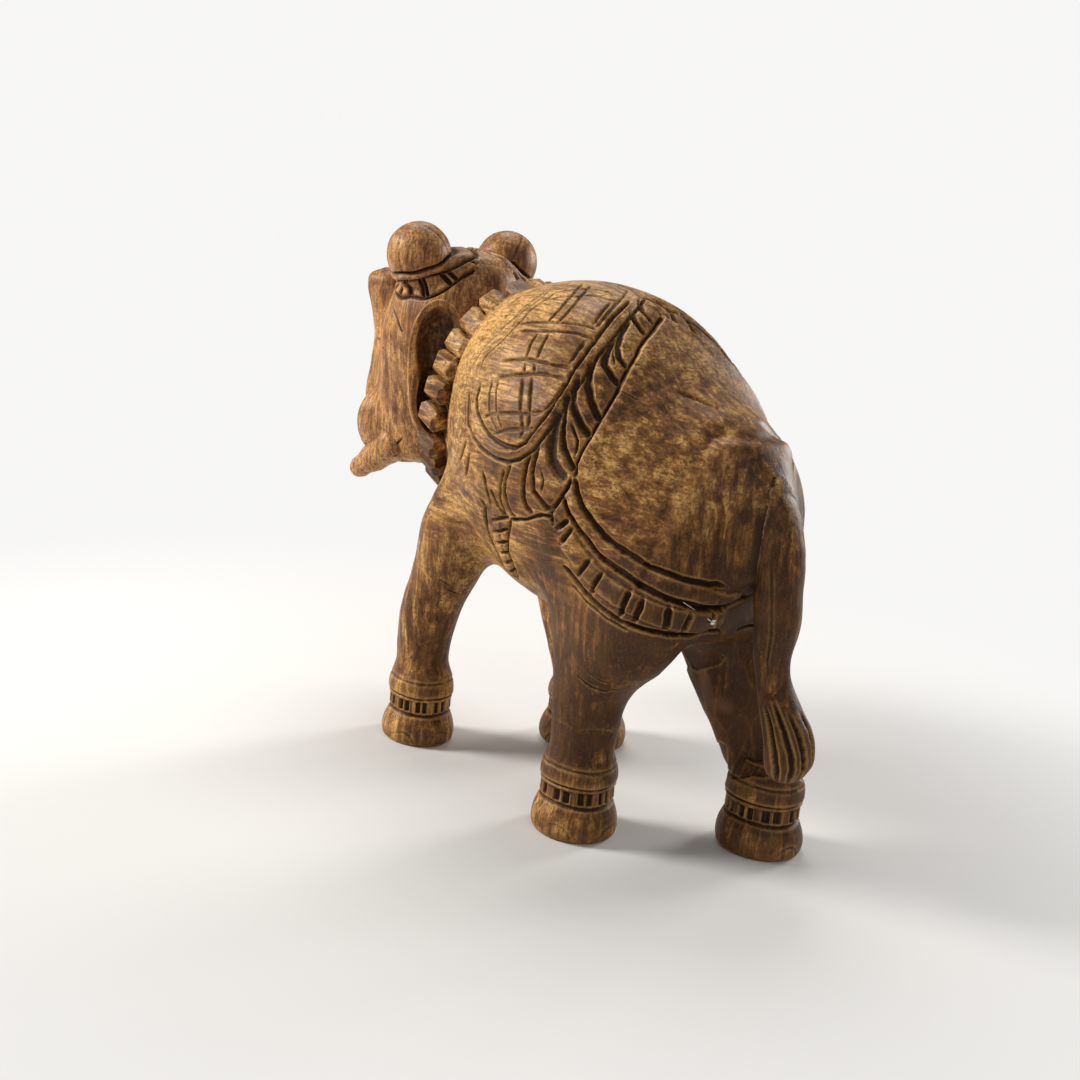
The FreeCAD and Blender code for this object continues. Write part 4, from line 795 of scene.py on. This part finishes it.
# ---------------------------------------------------------------- materials
def wood(name, light, mid, deep, blotch=1.0, rough=0.52):
    """oiled, antiqued hardwood: ochre to dark brown tone that also carries painted light and shade, blotchy brown wash,
    dark wash in the cuts with painted shade in creases and gaps, streaky pores
    """
    m = bpy.data.materials.new(name); m.use_nodes = True
    nt = m.node_tree; N = nt.nodes; L = nt.links
    for n in list(N):
        N.remove(n)
    out = N.new("ShaderNodeOutputMaterial"); bsdf = N.new("ShaderNodeBsdfPrincipled")
    L.new(bsdf.outputs[0], out.inputs[0])
    tc = N.new("ShaderNodeTexCoord")

    def mapped(scale, rot=(0, 0, 0)):
        mp = N.new("ShaderNodeMapping"); mp.inputs["Scale"].default_value = scale; mp.inputs["Rotation"].default_value = rot
        L.new(tc.outputs["Object"], mp.inputs["Vector"]); return mp.outputs[0]

    def noise(vec, scale, detail=4, rough_=0.55, dist=0.0):
        n = N.new("ShaderNodeTexNoise"); n.inputs["Scale"].default_value = scale; n.inputs["Detail"].default_value = detail
        n.inputs["Roughness"].default_value = rough_; n.inputs["Distortion"].default_value = dist
        L.new(vec, n.inputs["Vector"]); return n.outputs["Fac"]

    def ramp(src, *stops):
        r = N.new("ShaderNodeValToRGB"); L.new(src, r.inputs[0])
        cr = r.color_ramp
        while len(cr.elements) < len(stops):
            cr.elements.new(0.5)
        for e, (p, c) in zip(cr.elements, stops):
            e.position = p; e.color = (*c, 1) if len(c) == 3 else (c[0],) * 3 + (1,)
        return r.outputs[0]

    def math_(op, a, b=None, c=None, clamp=False):
        n = N.new("ShaderNodeMath"); n.operation = op; n.use_clamp = clamp
        for i, v in enumerate((a, b, c)):
            if v is None:
                continue
            if isinstance(v, (int, float)):
                n.inputs[i].default_value = v
            else:
                L.new(v, n.inputs[i])
        return n.outputs[0]

    def mix(fac, a, b, mode="MIX"):
        n = N.new("ShaderNodeMix"); n.data_type = "RGBA"; n.blend_type = mode; n.clamp_factor = True
        if isinstance(fac, (int, float)):
            n.inputs[0].default_value = fac
        else:
            L.new(fac, n.inputs[0])
        for i, v in ((6, a), (7, b)):
            if isinstance(v, tuple):
                n.inputs[i].default_value = (*v, 1)
            else:
                L.new(v, n.inputs[i])
        return n.outputs[2]

    def attr(n_):
        a = N.new("ShaderNodeAttribute"); a.attribute_name = n_; return a.outputs["Fac"]

    obj = tc.outputs["Object"]
    gr = attr("grain")

    def along(scale, squash, detail, rgh, dist, tilt):
        """streaks that run along the back or up the leg, chosen by the grain attribute"""
        a = noise(mapped((1.0, squash, 1.0), tilt), scale, detail, rgh, dist)
        b = noise(mapped((1.0, 1.0, squash), tilt), scale, detail, rgh, dist)
        return math_("ADD", math_("MULTIPLY", a, math_("SUBTRACT", 1.0, gr)), math_("MULTIPLY", b, gr))

    big = noise(obj, 24, 6, 0.62, 0.7)
    stain = noise(obj, 13, 6, 0.66, 0.9)
    mid_n = noise(obj, 95, 5, 0.64, 0.4)
    streak = along(640, 0.11, 4, 0.62, 0.15, (0.12, 0.16, 0.1))
    streak2 = along(250, 0.06, 5, 0.66, 0.3, (0.02, -0.10, 0.22))
    pores = along(1150, 0.14, 3, 0.6, 0.0, (0.1, 0.05, -0.1))
    hatch = noise(mapped((0.16, 1.0, 1.0), (0.1, 0.6, 0.5)), 760, 3, 0.6)
    speck = noise(obj, 820, 4, 0.7)
    tone_and_painted_light = math_("ADD", math_("MULTIPLY", big, 0.95 * blotch), math_("MULTIPLY", mid_n, 0.65))
    tone_and_painted_light = math_("SUBTRACT", tone_and_painted_light, 0.30)
    tone_and_painted_light = math_("ADD", tone_and_painted_light, math_("MULTIPLY", math_("SUBTRACT", streak2, 0.5), 1.25))
    # painted light and shade: the tone attribute makes lit areas paler and shaded areas darker
    tone_and_painted_light = math_("ADD", tone_and_painted_light, math_("MULTIPLY", attr("tone_and_painted_light"), 1.25))
    base = ramp(tone_and_painted_light, (0.26, deep), (0.46, mid), (0.66, light), (0.88, tuple(min(1, c * 1.25) for c in light)))
    base = mix(math_("MULTIPLY", ramp(stain, (0.53, (0.0,)), (0.66, (1.0,))), 0.50), base, tuple(c * 0.55 for c in mid), "MIX")
    base = mix(math_("MULTIPLY", ramp(streak, (0.40, (1.0,)), (0.53, (0.0,))), 0.62), base, tuple(c * 0.36 for c in mid), "MIX")
    base = mix(math_("MULTIPLY", ramp(pores, (0.37, (1.0,)), (0.46, (0.0,))), 0.66), base, tuple(c * 0.22 for c in mid), "MIX")
    base = mix(math_("MULTIPLY", ramp(hatch, (0.38, (1.0,)), (0.47, (0.0,))), 0.62), base, tuple(c * 0.34 for c in mid), "MIX")
    base = mix(math_("MULTIPLY", ramp(speck, (0.60, (0.0,)), (0.75, (1.0,))), 0.25), base, tuple(min(1, c * 1.35) for c in light), "MIX")
    # dark wash left in the cuts and worn off the crests; the same attribute carries painted shade in creases, hollows
    # and between parts
    wash_and_painted_shade = math_("MULTIPLY", attr("wash_and_painted_shade"), math_("ADD", 0.80, math_("MULTIPLY", mid_n, 0.45)), clamp=True)
    base = mix(wash_and_painted_shade, base, (0.030, 0.0125, 0.0048))
    base = mix(math_("MULTIPLY", attr("worn"), 0.30), base, tuple(min(1, c * 1.30) for c in light), "MIX")
    base = mix(attr("raw"), base, (0.36, 0.16, 0.10))
    L.new(base, bsdf.inputs["Base Color"])
    rg = math_("ADD", rough, math_("MULTIPLY", math_("SUBTRACT", mid_n, 0.5), 0.30))
    rg = math_("ADD", rg, math_("MULTIPLY", attr("wash_and_painted_shade"), 0.12))
    L.new(rg, bsdf.inputs["Roughness"])
    bsdf.inputs["Specular IOR Level"].default_value = 0.20
    bsdf.inputs["Coat Weight"].default_value = 0.04; bsdf.inputs["Coat Roughness"].default_value = 0.38
    hgt = math_("ADD", math_("MULTIPLY", streak, 0.55), math_("MULTIPLY", pores, 0.45))
    hgt = math_("ADD", hgt, math_("MULTIPLY", mid_n, 0.8))
    bump = N.new("ShaderNodeBump"); bump.inputs["Strength"].default_value = 0.60; bump.inputs["Distance"].default_value = 0.0006
    L.new(hgt, bump.inputs["Height"]); L.new(bump.outputs[0], bsdf.inputs["Normal"])
    return m


MAT_BODY = wood("carved_wood", (0.60, 0.335, 0.105), (0.265, 0.110, 0.028), (0.050, 0.018, 0.005))
MAT_HEAD = wood("carved_wood_head", (0.54, 0.275, 0.098), (0.270, 0.110, 0.034), (0.082, 0.030, 0.009), blotch=1.1, rough=0.44)
MAT_LEG = MAT_BODY


def dowel_mat():
    m = bpy.data.materials.new("dowel_wood"); m.use_nodes = True
    nt = m.node_tree; b = nt.nodes["Principled BSDF"]
    tc = nt.nodes.new("ShaderNodeTexCoord"); mp = nt.nodes.new("ShaderNodeMapping"); mp.inputs["Scale"].default_value = (1, 1, 0.08)
    n = nt.nodes.new("ShaderNodeTexNoise"); n.inputs["Scale"].default_value = 900; n.inputs["Detail"].default_value = 4
    r = nt.nodes.new("ShaderNodeValToRGB"); r.color_ramp.elements[0].color = (0.42, 0.27, 0.13, 1); r.color_ramp.elements[1].color = (0.66, 0.49, 0.29, 1)
    r.color_ramp.elements[0].position = 0.35; r.color_ramp.elements[1].position = 0.65
    bp_ = nt.nodes.new("ShaderNodeBump"); bp_.inputs["Strength"].default_value = 0.3; bp_.inputs["Distance"].default_value = 0.0003
    L = nt.links
    L.new(tc.outputs["Object"], mp.inputs[0]); L.new(mp.outputs[0], n.inputs["Vector"]); L.new(n.outputs[0], r.inputs[0])
    L.new(r.outputs[0], b.inputs["Base Color"]); L.new(n.outputs[0], bp_.inputs["Height"]); L.new(bp_.outputs[0], b.inputs["Normal"])
    b.inputs["Roughness"].default_value = 0.6
    return m


def steel_mat():
    m = bpy.data.materials.new("pin_steel"); m.use_nodes = True
    nt = m.node_tree; b = nt.nodes["Principled BSDF"]
    tc = nt.nodes.new("ShaderNodeTexCoord")
    n = nt.nodes.new("ShaderNodeTexNoise"); n.inputs["Scale"].default_value = 1400; n.inputs["Detail"].default_value = 3
    r = nt.nodes.new("ShaderNodeValToRGB"); r.color_ramp.elements[0].color = (0.50, 0.46, 0.34, 1); r.color_ramp.elements[1].color = (0.82, 0.80, 0.70, 1)
    q = nt.nodes.new("ShaderNodeMapRange"); q.inputs["To Min"].default_value = 0.18; q.inputs["To Max"].default_value = 0.38
    L = nt.links
    L.new(tc.outputs["Object"], n.inputs["Vector"]); L.new(n.outputs[0], r.inputs[0]); L.new(r.outputs[0], b.inputs["Base Color"])
    L.new(n.outputs[0], q.inputs[0]); L.new(q.outputs[0], b.inputs["Roughness"])
    b.inputs["Metallic"].default_value = 0.9
    return m


# ---------------------------------------------------------------- main block: body, head and legs in one field
ANG = [0.272, 0.620, 0.880, 1.112, 1.333, 1.576, 1.845, 2.157]
while ANG[-1] + 0.24 < 3.05:
    ANG.append(ANG[-1] + 0.24)
ring_angles = ANG + [-a for a in ANG] + [0.0, math.pi]
core = main_ops()
# the rump swells under the tail root, so that the tail grows out of it
ROOT = [(150, 1, 130, 12, 11), (166, 1, 128.5, 12.6, 12), (186, 1, 121, 13, 11.6), (200, 1, 111, 11.5, 9.5), (212, 1, 98, 8.5, 5.5)]
core.append((Loft(2, ROOT, cap=5), 20))
main = core + necklace_ops(ring_angles)
fieldf = lambda Q_: field_at(main, Q_)
V, Q, npts = field_mesh(main, (-90, -240, -3), (90, 175, 305), VX, coarse=5 if VX < 1.2 else 4)
V = V.astype(F4)
log("field", len(V), len(Q))

# finer mesh where there is carving
cell = 2.5
lo = np.array([-100.0, -250, -5])
grid = np.zeros((82, 176, 128), bool)

def stamp(pts, r, mirror=True):
    p = np.asarray(pts, float)
    out = [p[0]]
    for a, b in zip(p[:-1], p[1:]):
        n = max(1, int(np.linalg.norm(b - a) / 1.5))
        out += [a + (b - a) * i / n for i in range(1, n + 1)]
    p = np.array(out)
    if mirror:
        p = np.concatenate([p, p * [-1, 1, 1]])
    k = int(math.ceil(r / cell))
    for dx in range(-k, k + 1):
        for dy in range(-k, k + 1):
            for dz in range(-k, k + 1):
                if dx * dx + dy * dy + dz * dz <= (r / cell + 0.5) ** 2:
                    i = np.floor((p - lo) / cell).astype(int) + [dx, dy, dz]
                    grid[i[:, 0], i[:, 1], i[:, 2]] = True
for g_ in CARVED:
    stamp(g_[3], g_[1] + 1.5)
stamp(LINES["cordmid"][3], 2.0)
for g_ in LEFT_GROOVES:
    stamp(g_[3], g_[1] + 1.2, False)
cen = V[Q].mean(1)
i = np.floor((cen - lo) / cell).astype(int)
mark = grid[i[:, 0], i[:, 1], i[:, 2]]
X = cen.copy(); X[:, 0] = np.abs(X[:, 0])
q = X - DOME_C; h = q @ DOME_A
r = np.linalg.norm(q - h[:, None] * DOME_A, axis=1)
mark |= (r < 33) & (h < -1.5) & (h > -23) & (X[:, 1] < -98)
mark |= (cen[:, 2] > 17) & (cen[:, 2] < 29)
q = cen - RC
mark |= (np.abs(q @ JN) < 10.5) & (np.sqrt((q[:, 0] / RX) ** 2 + ((q @ JU) / RU) ** 2) > 0.9) & (np.sqrt((q[:, 0] / RX) ** 2 + ((q @ JU) / RU) ** 2) < 1.35)
V, groups = refine(V, Q, mark)
log("refined", len(V), sum(len(g_) for g_ in groups))
V, N = project(V, fieldf, iters=2)
# point the normals outward
if fieldf((V[:400] + N[:400]).astype(F4)).mean() < 0:
    N = -N
log("projected")

# ease the blend lines the union leaves on flank, rump and thigh
avg = vertex_avg(len(V), groups)
w = sstep(95, 118, V[:, 2]) * sstep(-20, 10, V[:, 1]) * sstep(300, 250, V[:, 2])
w = np.maximum(w, 0.0)[:, None]
step = 44
S = V.astype(np.float64)
for _ in range(step):
    S += 0.5 * w * (avg(S) - S)
    S += -0.52 * w * (avg(S) - S) if _ % 2 else 0
V = S.astype(F4)
Ns = N.astype(np.float64)
for _ in range(step // 3):
    Ns += 0.6 * w * (avg(Ns) - Ns)
N = (Ns / (np.linalg.norm(Ns, axis=1)[:, None] + 1e-9)).astype(F4)
log("eased")

disp, wash_and_painted_shade = relief(V, N)
V2 = V + N * disp[:, None]
V2[:, 2] = np.maximum(V2[:, 2], 0.0)
log("relief")


def curvature(V_, groups_, N_, rounds=2):
    av = vertex_avg(len(V_), groups_)
    s = V_.astype(np.float64)
    for _ in range(rounds):
        s = s + 0.7 * (av(s) - s)
    return ((V_ - s) * N_).sum(1)


curv = curvature(V2, groups, N, 3)
worn = np.clip(curv * 5.0 - 0.10, 0, 1)
tl0 = tail_op()
nt_ = np.flatnonzero((V2[:, 1] > 85) & (np.abs(V2[:, 0]) < 32) & (V2[:, 2] > 50) & (V2[:, 2] < 215))
dt_ = tl0(V2[nt_])
# painted shade on the rump around the tail root, fading with distance from the tail
painted_contact_shade = np.zeros(len(V2), F4); painted_contact_shade[nt_] = 0.92 * np.exp(-(np.maximum(dt_, 0) / 3.2) ** 2) * sstep(196, 176, V2[nt_, 2])
# concave creases are darkened, partly dark wash and partly painted shade
wash_and_painted_shade = np.clip(np.maximum(np.maximum(wash_and_painted_shade, painted_contact_shade), np.clip(-curv * 4.0 - 0.40, 0, 0.7)), 0, 1)


def tones_and_painted_light(P, N_, where):
    """large scale colour: cloth, top and belly painted paler as painted highlight, thighs, rear and lower body painted
    darker as painted shade; red-brown head and necklace
    """
    t = np.zeros(len(P), F4)
    z, y, x = P[:, 2], P[:, 1], P[:, 0]
    if where == "head":
        # the top of the head is painted paler, a painted highlight; the face below the crown is a little paler too
        return t + 0.03 * sstep(250, 270, z) + 0.05 * sstep(-60, -110, y) * sstep(262, 240, z)
    cloth = sstep(20, -25, y) * sstep(145, 185, z)
    # painted highlight: the cloth panel and the top of the body are painted paler
    t += 0.12 * cloth + 0.06 * sstep(215, 262, z)
    # painted shade: the thighs and the lower rear are painted darker
    t -= 0.17 * sstep(190, 125, z) * sstep(15, 55, y) * sstep(20, 60, z)
    # painted shade: the body gets darker towards the bottom
    t -= 0.04 * sstep(110, 80, z)
    # painted shade: the rear end is painted darker
    t -= 0.06 * sstep(60, 115, y)
    # painted highlight: the belly between the legs is painted paler
    t += 0.12 * sstep(155, 130, z) * sstep(45, 10, y) * sstep(-45, -15, y) * sstep(90, 105, z)
    # painted shade: the feet get darker towards the ground
    t -= 0.03 * sstep(40, 20, z)
    q = P - RC
    ring = sstep(12, 9.5, np.abs(q @ JN)) * sstep(0.97, 1.04, np.sqrt((q[:, 0] / RX) ** 2 + ((q @ JU) / RU) ** 2))
    t -= 0.15 * ring
    return t


def grain(P, where):
    """0 where the grain runs along the back, 1 where it runs up the leg"""
    if where == "head":
        return np.ones(len(P), F4)
    return np.maximum(sstep(150, 112, P[:, 2]), sstep(100, 120, P[:, 1])).astype(F4)


attrs = {"wash_and_painted_shade": wash_and_painted_shade, "worn": worn}
RAW = np.zeros(len(V2), F4)
idx = np.flatnonzero((V2[:, 2] < 96) & (V2[:, 2] > 58) & (V2[:, 0] < 0) & (V2[:, 1] > 20))
RAW[idx] = 0.55 * sstep(0.25, 0.7, lattice(V2[idx], 14, 9)) * sstep(0.2, 0.7, N[idx][:, 0])
attrs["raw"] = RAW

nside = (V2 - JP) @ JN
pad = 3.0
NECK_PT = tuple(JP); NECK_N = tuple(JN)
LEG_D = {"FL": (43, -74), "FR": (-40.6, -59), "RL": (42.8, 68), "RR": (-36, 82)}
neck_b = [((s_ * 18.0, -100, 208), 5.1, 22.1) for s_ in (1, -1)]


def build(name, keep, cuts, nodes, mat, kind):
    v, g, at = pick(V2, groups, keep, attrs)
    at["tone_and_painted_light"] = tones_and_painted_light(v, None, kind); at["grain"] = grain(v, kind)
    me = to_mesh(name, v, g, at)
    saw(me, cuts)
    return place(name, me, nodes, mat)



in_leg = V2[:, 2] < 96 + pad
head_side = (nside > -pad) & (V2[:, 2] > 130)
body_keep = (nside < pad) & (V2[:, 2] > 96 - pad)
head_keep = head_side
LEG_BORES = [((x_, y_, 96), 5.1, 20.1) for x_, y_ in LEG_D.values()]
build("body_carved", body_keep, [(NECK_PT, NECK_N, neck_b), ((0, 0, 96), (0, 0, -1), LEG_BORES)], ["body_block"], MAT_BODY, "body")
log("body")
build("head_carved", head_keep, [(NECK_PT, tuple(-JN), neck_b)], ["head_block"], MAT_HEAD, "head")
log("head")
for k, node in (("FL", "front_left_leg"), ("FR", "front_right_leg"), ("RL", "rear_left_leg"), ("RR", "rear_right_leg")):
    x, y, rx, ry = FEET[k]
    kk = in_leg & (V2[:, 0] * x > 0) & ((V2[:, 1] > 8) == (k[0] == "R"))
    build(node + "_carved", kk, [((0, 0, 96), (0, 0, 1), [((*LEG_D[k], 96), 5.1, 20.1)])], [node], MAT_LEG, "leg")
log("legs")


# ---------------------------------------------------------------- ears, tusks, tail
def small(name, fn, lo_, hi_, vx, nodes, mat, shape, kind):
    """mesh one small carved piece from its own field, trimmed against the main block"""
    ev = fn
    v, q_, _ = field_mesh(None, lo_, hi_, vx, coarse=4, fieldf=ev)
    v = v.astype(F4)
    v, n = project(v, ev, iters=2, h=0.25)
    if ev((v[:200] + n[:200] * 0.5).astype(F4)).mean() < 0:
        n = -n
    g = [q_.astype(np.int64)]
    d, part_wash_and_painted_shade, raw_ = shape(v, n)
    v2 = v + n * d[:, None]
    c = curvature(v2, g, n, 3)
    # concave creases are darkened, partly dark wash and partly painted shade
    at = {"wash_and_painted_shade": np.clip(np.maximum(part_wash_and_painted_shade, np.clip(-c * 4 - 0.15, 0, 0.7)), 0, 1), "worn": np.clip(c * 5 - 0.1, 0, 1),
          "raw": raw_, "tone_and_painted_light": tones_and_painted_light(v2, n, kind), "grain": np.ones(len(v2), F4)}
    me = to_mesh(name, v2, g, at)
    return place(name, me, nodes, mat, 52)


def chunked(fn):
    def ev(P):
        out = np.empty(len(P), F4)
        parts = np.array_split(np.arange(len(P)), max(1, len(P) // 60000))

        def job(i):
            if len(i):
                out[i] = fn(P[i])
        with ThreadPoolExecutor(4) as ex:
            list(ex.map(job, parts))
        return out
    return ev


SV = 0.55
for sx, side in ((1, "left"), (-1, "right")):
    cup = ear_ops(sx)
    fn = chunked(lambda P, cup=cup: np.maximum(cup(P), -field_at(core, P) + 0.02))

    def ear_shape(P, N_, sx=sx):
        X_ = P.copy(); X_[:, 0] = np.abs(X_[:, 0])
        inner = sstep(0.1, 0.6, (N_ * np.array([sx * 0.6, 0.8, 0])).sum(1))
        deep_ = sstep(1.0, 5.0, -((X_ - np.array([39.6, -101.5, 0])) @ np.array([0.6, 0.8, 0])))
        rough_ = 0.30 * lattice(P, 4.0, 21) + 0.22 * lattice(P * [1, 1, 0.35], 1.6, 22)
        d = rough_ * deep_ * 1.7 + 0.16 * lattice(P, 6.0, 23)
        # short scratches low in the hollow, one step across it
        st = np.exp(-((P[:, 2] - 207 - 2 * np.sin(P[:, 0])) / 1.3) ** 2) * deep_
        d = d - 0.7 * st
        # painted shade: the ear hollow gets darker the deeper it goes; the scratches get dark wash
        part_wash_and_painted_shade = np.clip(0.70 * deep_ + 0.5 * st + 0.30 * deep_ * lattice(P, 2.0, 24), 0, 1)
        return d.astype(F4), part_wash_and_painted_shade.astype(F4), np.zeros(len(P), F4)
    small(side + "_ear_carved", fn, (min(sx * 20, sx * 60), -125, 170), (max(sx * 20, sx * 60), -80, 260), SV, [side + "_ear"], MAT_HEAD, ear_shape, "head")

    tk = tusk_op(sx)
    fn = chunked(lambda P, tk=tk: smax(tk(P), -field_at(core, P) + 0.02, 0.3))

    def tusk_shape(P, N_):
        d = 0.18 * lattice(P, 5.0, 31) + 0.10 * lattice(P, 2.2, 32)
        return d.astype(F4), np.zeros(len(P), F4), np.zeros(len(P), F4)
    small(side + "_tusk_carved", fn, (min(sx * 10, sx * 42), -200, 128), (max(sx * 10, sx * 42), -145, 178), SV * 0.8, [side + "_tusk"], MAT_HEAD, tusk_shape, "head")
log("ears and tusks")

tl = tail_op()
fn = chunked(lambda P: smax(tl(P), -field_at(core, P) + 0.02, 0.5))


def tail_shape(P, N_):
    z = P[:, 2]
    rows = np.array(TAIL, float)
    cx = np.interp(z, rows[:, 0], rows[:, 1]); cy = np.interp(z, rows[:, 0], rows[:, 2])
    th = np.arctan2(P[:, 1] - cy, P[:, 0] - cx)
    d = 0.30 * lattice(P, 12.0, 41) + 0.15 * lattice(P, 5.0, 42)
    part_wash_and_painted_shade = np.zeros(len(P))
    # tuft: long U cuts fanning down
    tuft = sstep(98, 88, z) * sstep(53, 58, z)
    fan = th + 0.012 * (z - 75) * np.sin(th * 1.0 + 0.6)
    for k in range(9):
        a0 = -math.pi + 2 * math.pi * (k + 0.5) / 9 + 0.12 * math.sin(5.1 * k)
        da = (fan - a0 + math.pi) % (2 * math.pi) - math.pi
        s = np.abs(da) * 12.5 + 0.25 * lattice(P, 5.0, 43)
        top = 96 - 6 * abs(math.sin(2.3 * k + 1))
        c = np.clip(1.35 * (1 - s / 2.0), 0, 1) * sstep(top, top - 9, z) * sstep(54, 60, z)
        d = d - 2.5 * c
        part_wash_and_painted_shade = np.maximum(part_wash_and_painted_shade, 0.95 * c)
    # two carved lines along the tail's side
    for a0, z0, z1 in ((2.6, 110, 205), (0.5, 104, 160)):
        da = (th - a0 + math.pi) % (2 * math.pi) - math.pi
        c = np.clip(1 - np.abs(da) * 10 / 0.9, 0, 1) * sstep(z0, z0 + 8, z) * sstep(z1, z1 - 8, z)
        d = d - 0.6 * c; part_wash_and_painted_shade = np.maximum(part_wash_and_painted_shade, 0.6 * c)
    # painted shade on the tail where it meets the body
    painted_tail_root_shade = 0.85 * np.exp(-(np.maximum(field_at(core, P), 0) / 2.6) ** 2) * sstep(196, 176, z)
    d = d - 1.1 * sstep(178, 200, z)
    part_wash_and_painted_shade = np.maximum(part_wash_and_painted_shade, painted_tail_root_shade)
    return d.astype(F4), part_wash_and_painted_shade.astype(F4), np.zeros(len(P), F4)


small("tail_carved", fn, (-26, 88, 48), (24, 172, 222), 0.7, ["tail"], MAT_LEG, tail_shape, "leg")
log("tail")

# ---------------------------------------------------------------- CAD nodes that stay: dowels and the pin
for n_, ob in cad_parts.items():
    if ob.hide_render:
        continue
    m_ = steel_mat() if n_ == "strap_pin" else dowel_mat()
    ob.data.materials.clear(); ob.data.materials.append(m_)

# ---------------------------------------------------------------- stage, light, camera
fm = bpy.data.meshes.new("floor")
bm = bmesh.new()
bmesh.ops.create_grid(bm, x_segments=1, y_segments=1, size=6.0)
bm.to_mesh(fm); bm.free()
floor = bpy.data.objects.new("floor", fm); bpy.context.scene.collection.objects.link(floor)
floor.location.z = -0.0003
mf = bpy.data.materials.new("floor"); mf.use_nodes = True
fn_, fl_ = mf.node_tree.nodes, mf.node_tree.links
b = fn_["Principled BSDF"]; b.inputs["Base Color"].default_value = (0.66, 0.655, 0.64, 1); b.inputs["Roughness"].default_value = 0.9
b.inputs["Specular IOR Level"].default_value = 0.05
em = fn_.new("ShaderNodeEmission"); em.inputs[0].default_value = (0.93, 0.925, 0.91, 1)
tcf = fn_.new("ShaderNodeTexCoord"); ln = fn_.new("ShaderNodeVectorMath"); ln.operation = "LENGTH"
mr = fn_.new("ShaderNodeMapRange"); mr.interpolation_type = "SMOOTHSTEP"; mr.inputs["From Min"].default_value = 0.16; mr.inputs["From Max"].default_value = 0.62
lpf = fn_.new("ShaderNodeLightPath"); mm = fn_.new("ShaderNodeMath"); mm.operation = "MULTIPLY"
mxf = fn_.new("ShaderNodeMixShader")
fl_.new(tcf.outputs["Object"], ln.inputs[0]); fl_.new(ln.outputs["Value"], mr.inputs["Value"])
fl_.new(mr.outputs[0], mm.inputs[0]); fl_.new(lpf.outputs["Is Camera Ray"], mm.inputs[1])
fl_.new(mm.outputs[0], mxf.inputs[0]); fl_.new(b.outputs[0], mxf.inputs[1]); fl_.new(em.outputs[0], mxf.inputs[2])
fl_.new(mxf.outputs[0], fn_["Material Output"].inputs[0])
fm.materials.append(mf)

cam_pos = np.array([498.77, 548.21, 296.38]); look = np.array([-0.63168, -0.74485, -0.21491]); roll = math.radians(6.08)
right = np.cross(look, [0, 0, 1]); right /= np.linalg.norm(right); upv = np.cross(right, look)
RR_ = math.cos(roll) * right + math.sin(roll) * upv; UU_ = -math.sin(roll) * right + math.cos(roll) * upv
cd = bpy.data.cameras.new("camera"); cd.sensor_width = 36; cd.lens = 46.0; cd.clip_start = 0.01
cam = bpy.data.objects.new("camera", cd); bpy.context.scene.collection.objects.link(cam)
M = Matrix.Identity(4)
for i in range(3):
    M[i][0], M[i][1], M[i][2], M[i][3] = RR_[i], UU_[i], -look[i], (cam_pos[i] + SHIFT[i]) * 0.001
cam.matrix_world = M
bpy.context.scene.camera = cam


def area(name, off, size, power, color):
    """soft box placed by camera-frame offset (right, up, toward camera) from the figure's middle, metres"""
    t = Vector((0, 0, 0.15))
    p = t + Vector(RR_) * off[0] + Vector(UU_) * off[1] - Vector(look) * off[2]
    ld = bpy.data.lights.new(name, "AREA"); ld.shape = "DISK"; ld.size = size; ld.energy = power; ld.color = color
    o = bpy.data.objects.new(name, ld); bpy.context.scene.collection.objects.link(o)
    o.location = p; o.rotation_euler = (t - p).to_track_quat("-Z", "Y").to_euler()
    return o


area("key", (-1.25, 0.85, 0.12), 0.50, 27, (1.0, 0.97, 0.93))
area("top", (0.05, 1.45, -0.45), 0.8, 11, (1.0, 0.98, 0.96))
area("fill", (0.5, 0.55, 1.2), 0.9, 2.6, (1.0, 0.98, 0.96))
area("rim", (1.15, 0.45, -0.75), 0.5, 13, (1.0, 0.98, 0.96))
wd = bpy.context.scene.world or bpy.data.worlds.new("world")
bpy.context.scene.world = wd; wd.use_nodes = True
wn = wd.node_tree.nodes; wl = wd.node_tree.links
bg = wn["Background"]; bg.inputs[0].default_value = (1.0, 1.0, 1.0, 1); bg.inputs[1].default_value = 0.24
bg2 = wn.new("ShaderNodeBackground"); bg2.inputs[0].default_value = (0.93, 0.925, 0.91, 1); bg2.inputs[1].default_value = 1.0
lp = wn.new("ShaderNodeLightPath"); mxs = wn.new("ShaderNodeMixShader")
wl.new(lp.outputs["Is Camera Ray"], mxs.inputs[0]); wl.new(bg.outputs[0], mxs.inputs[1]); wl.new(bg2.outputs[0], mxs.inputs[2])
wl.new(mxs.outputs[0], wn["World Output"].inputs[0])
bpy.context.scene.view_settings.view_transform = "Standard"

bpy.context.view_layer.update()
log("done")
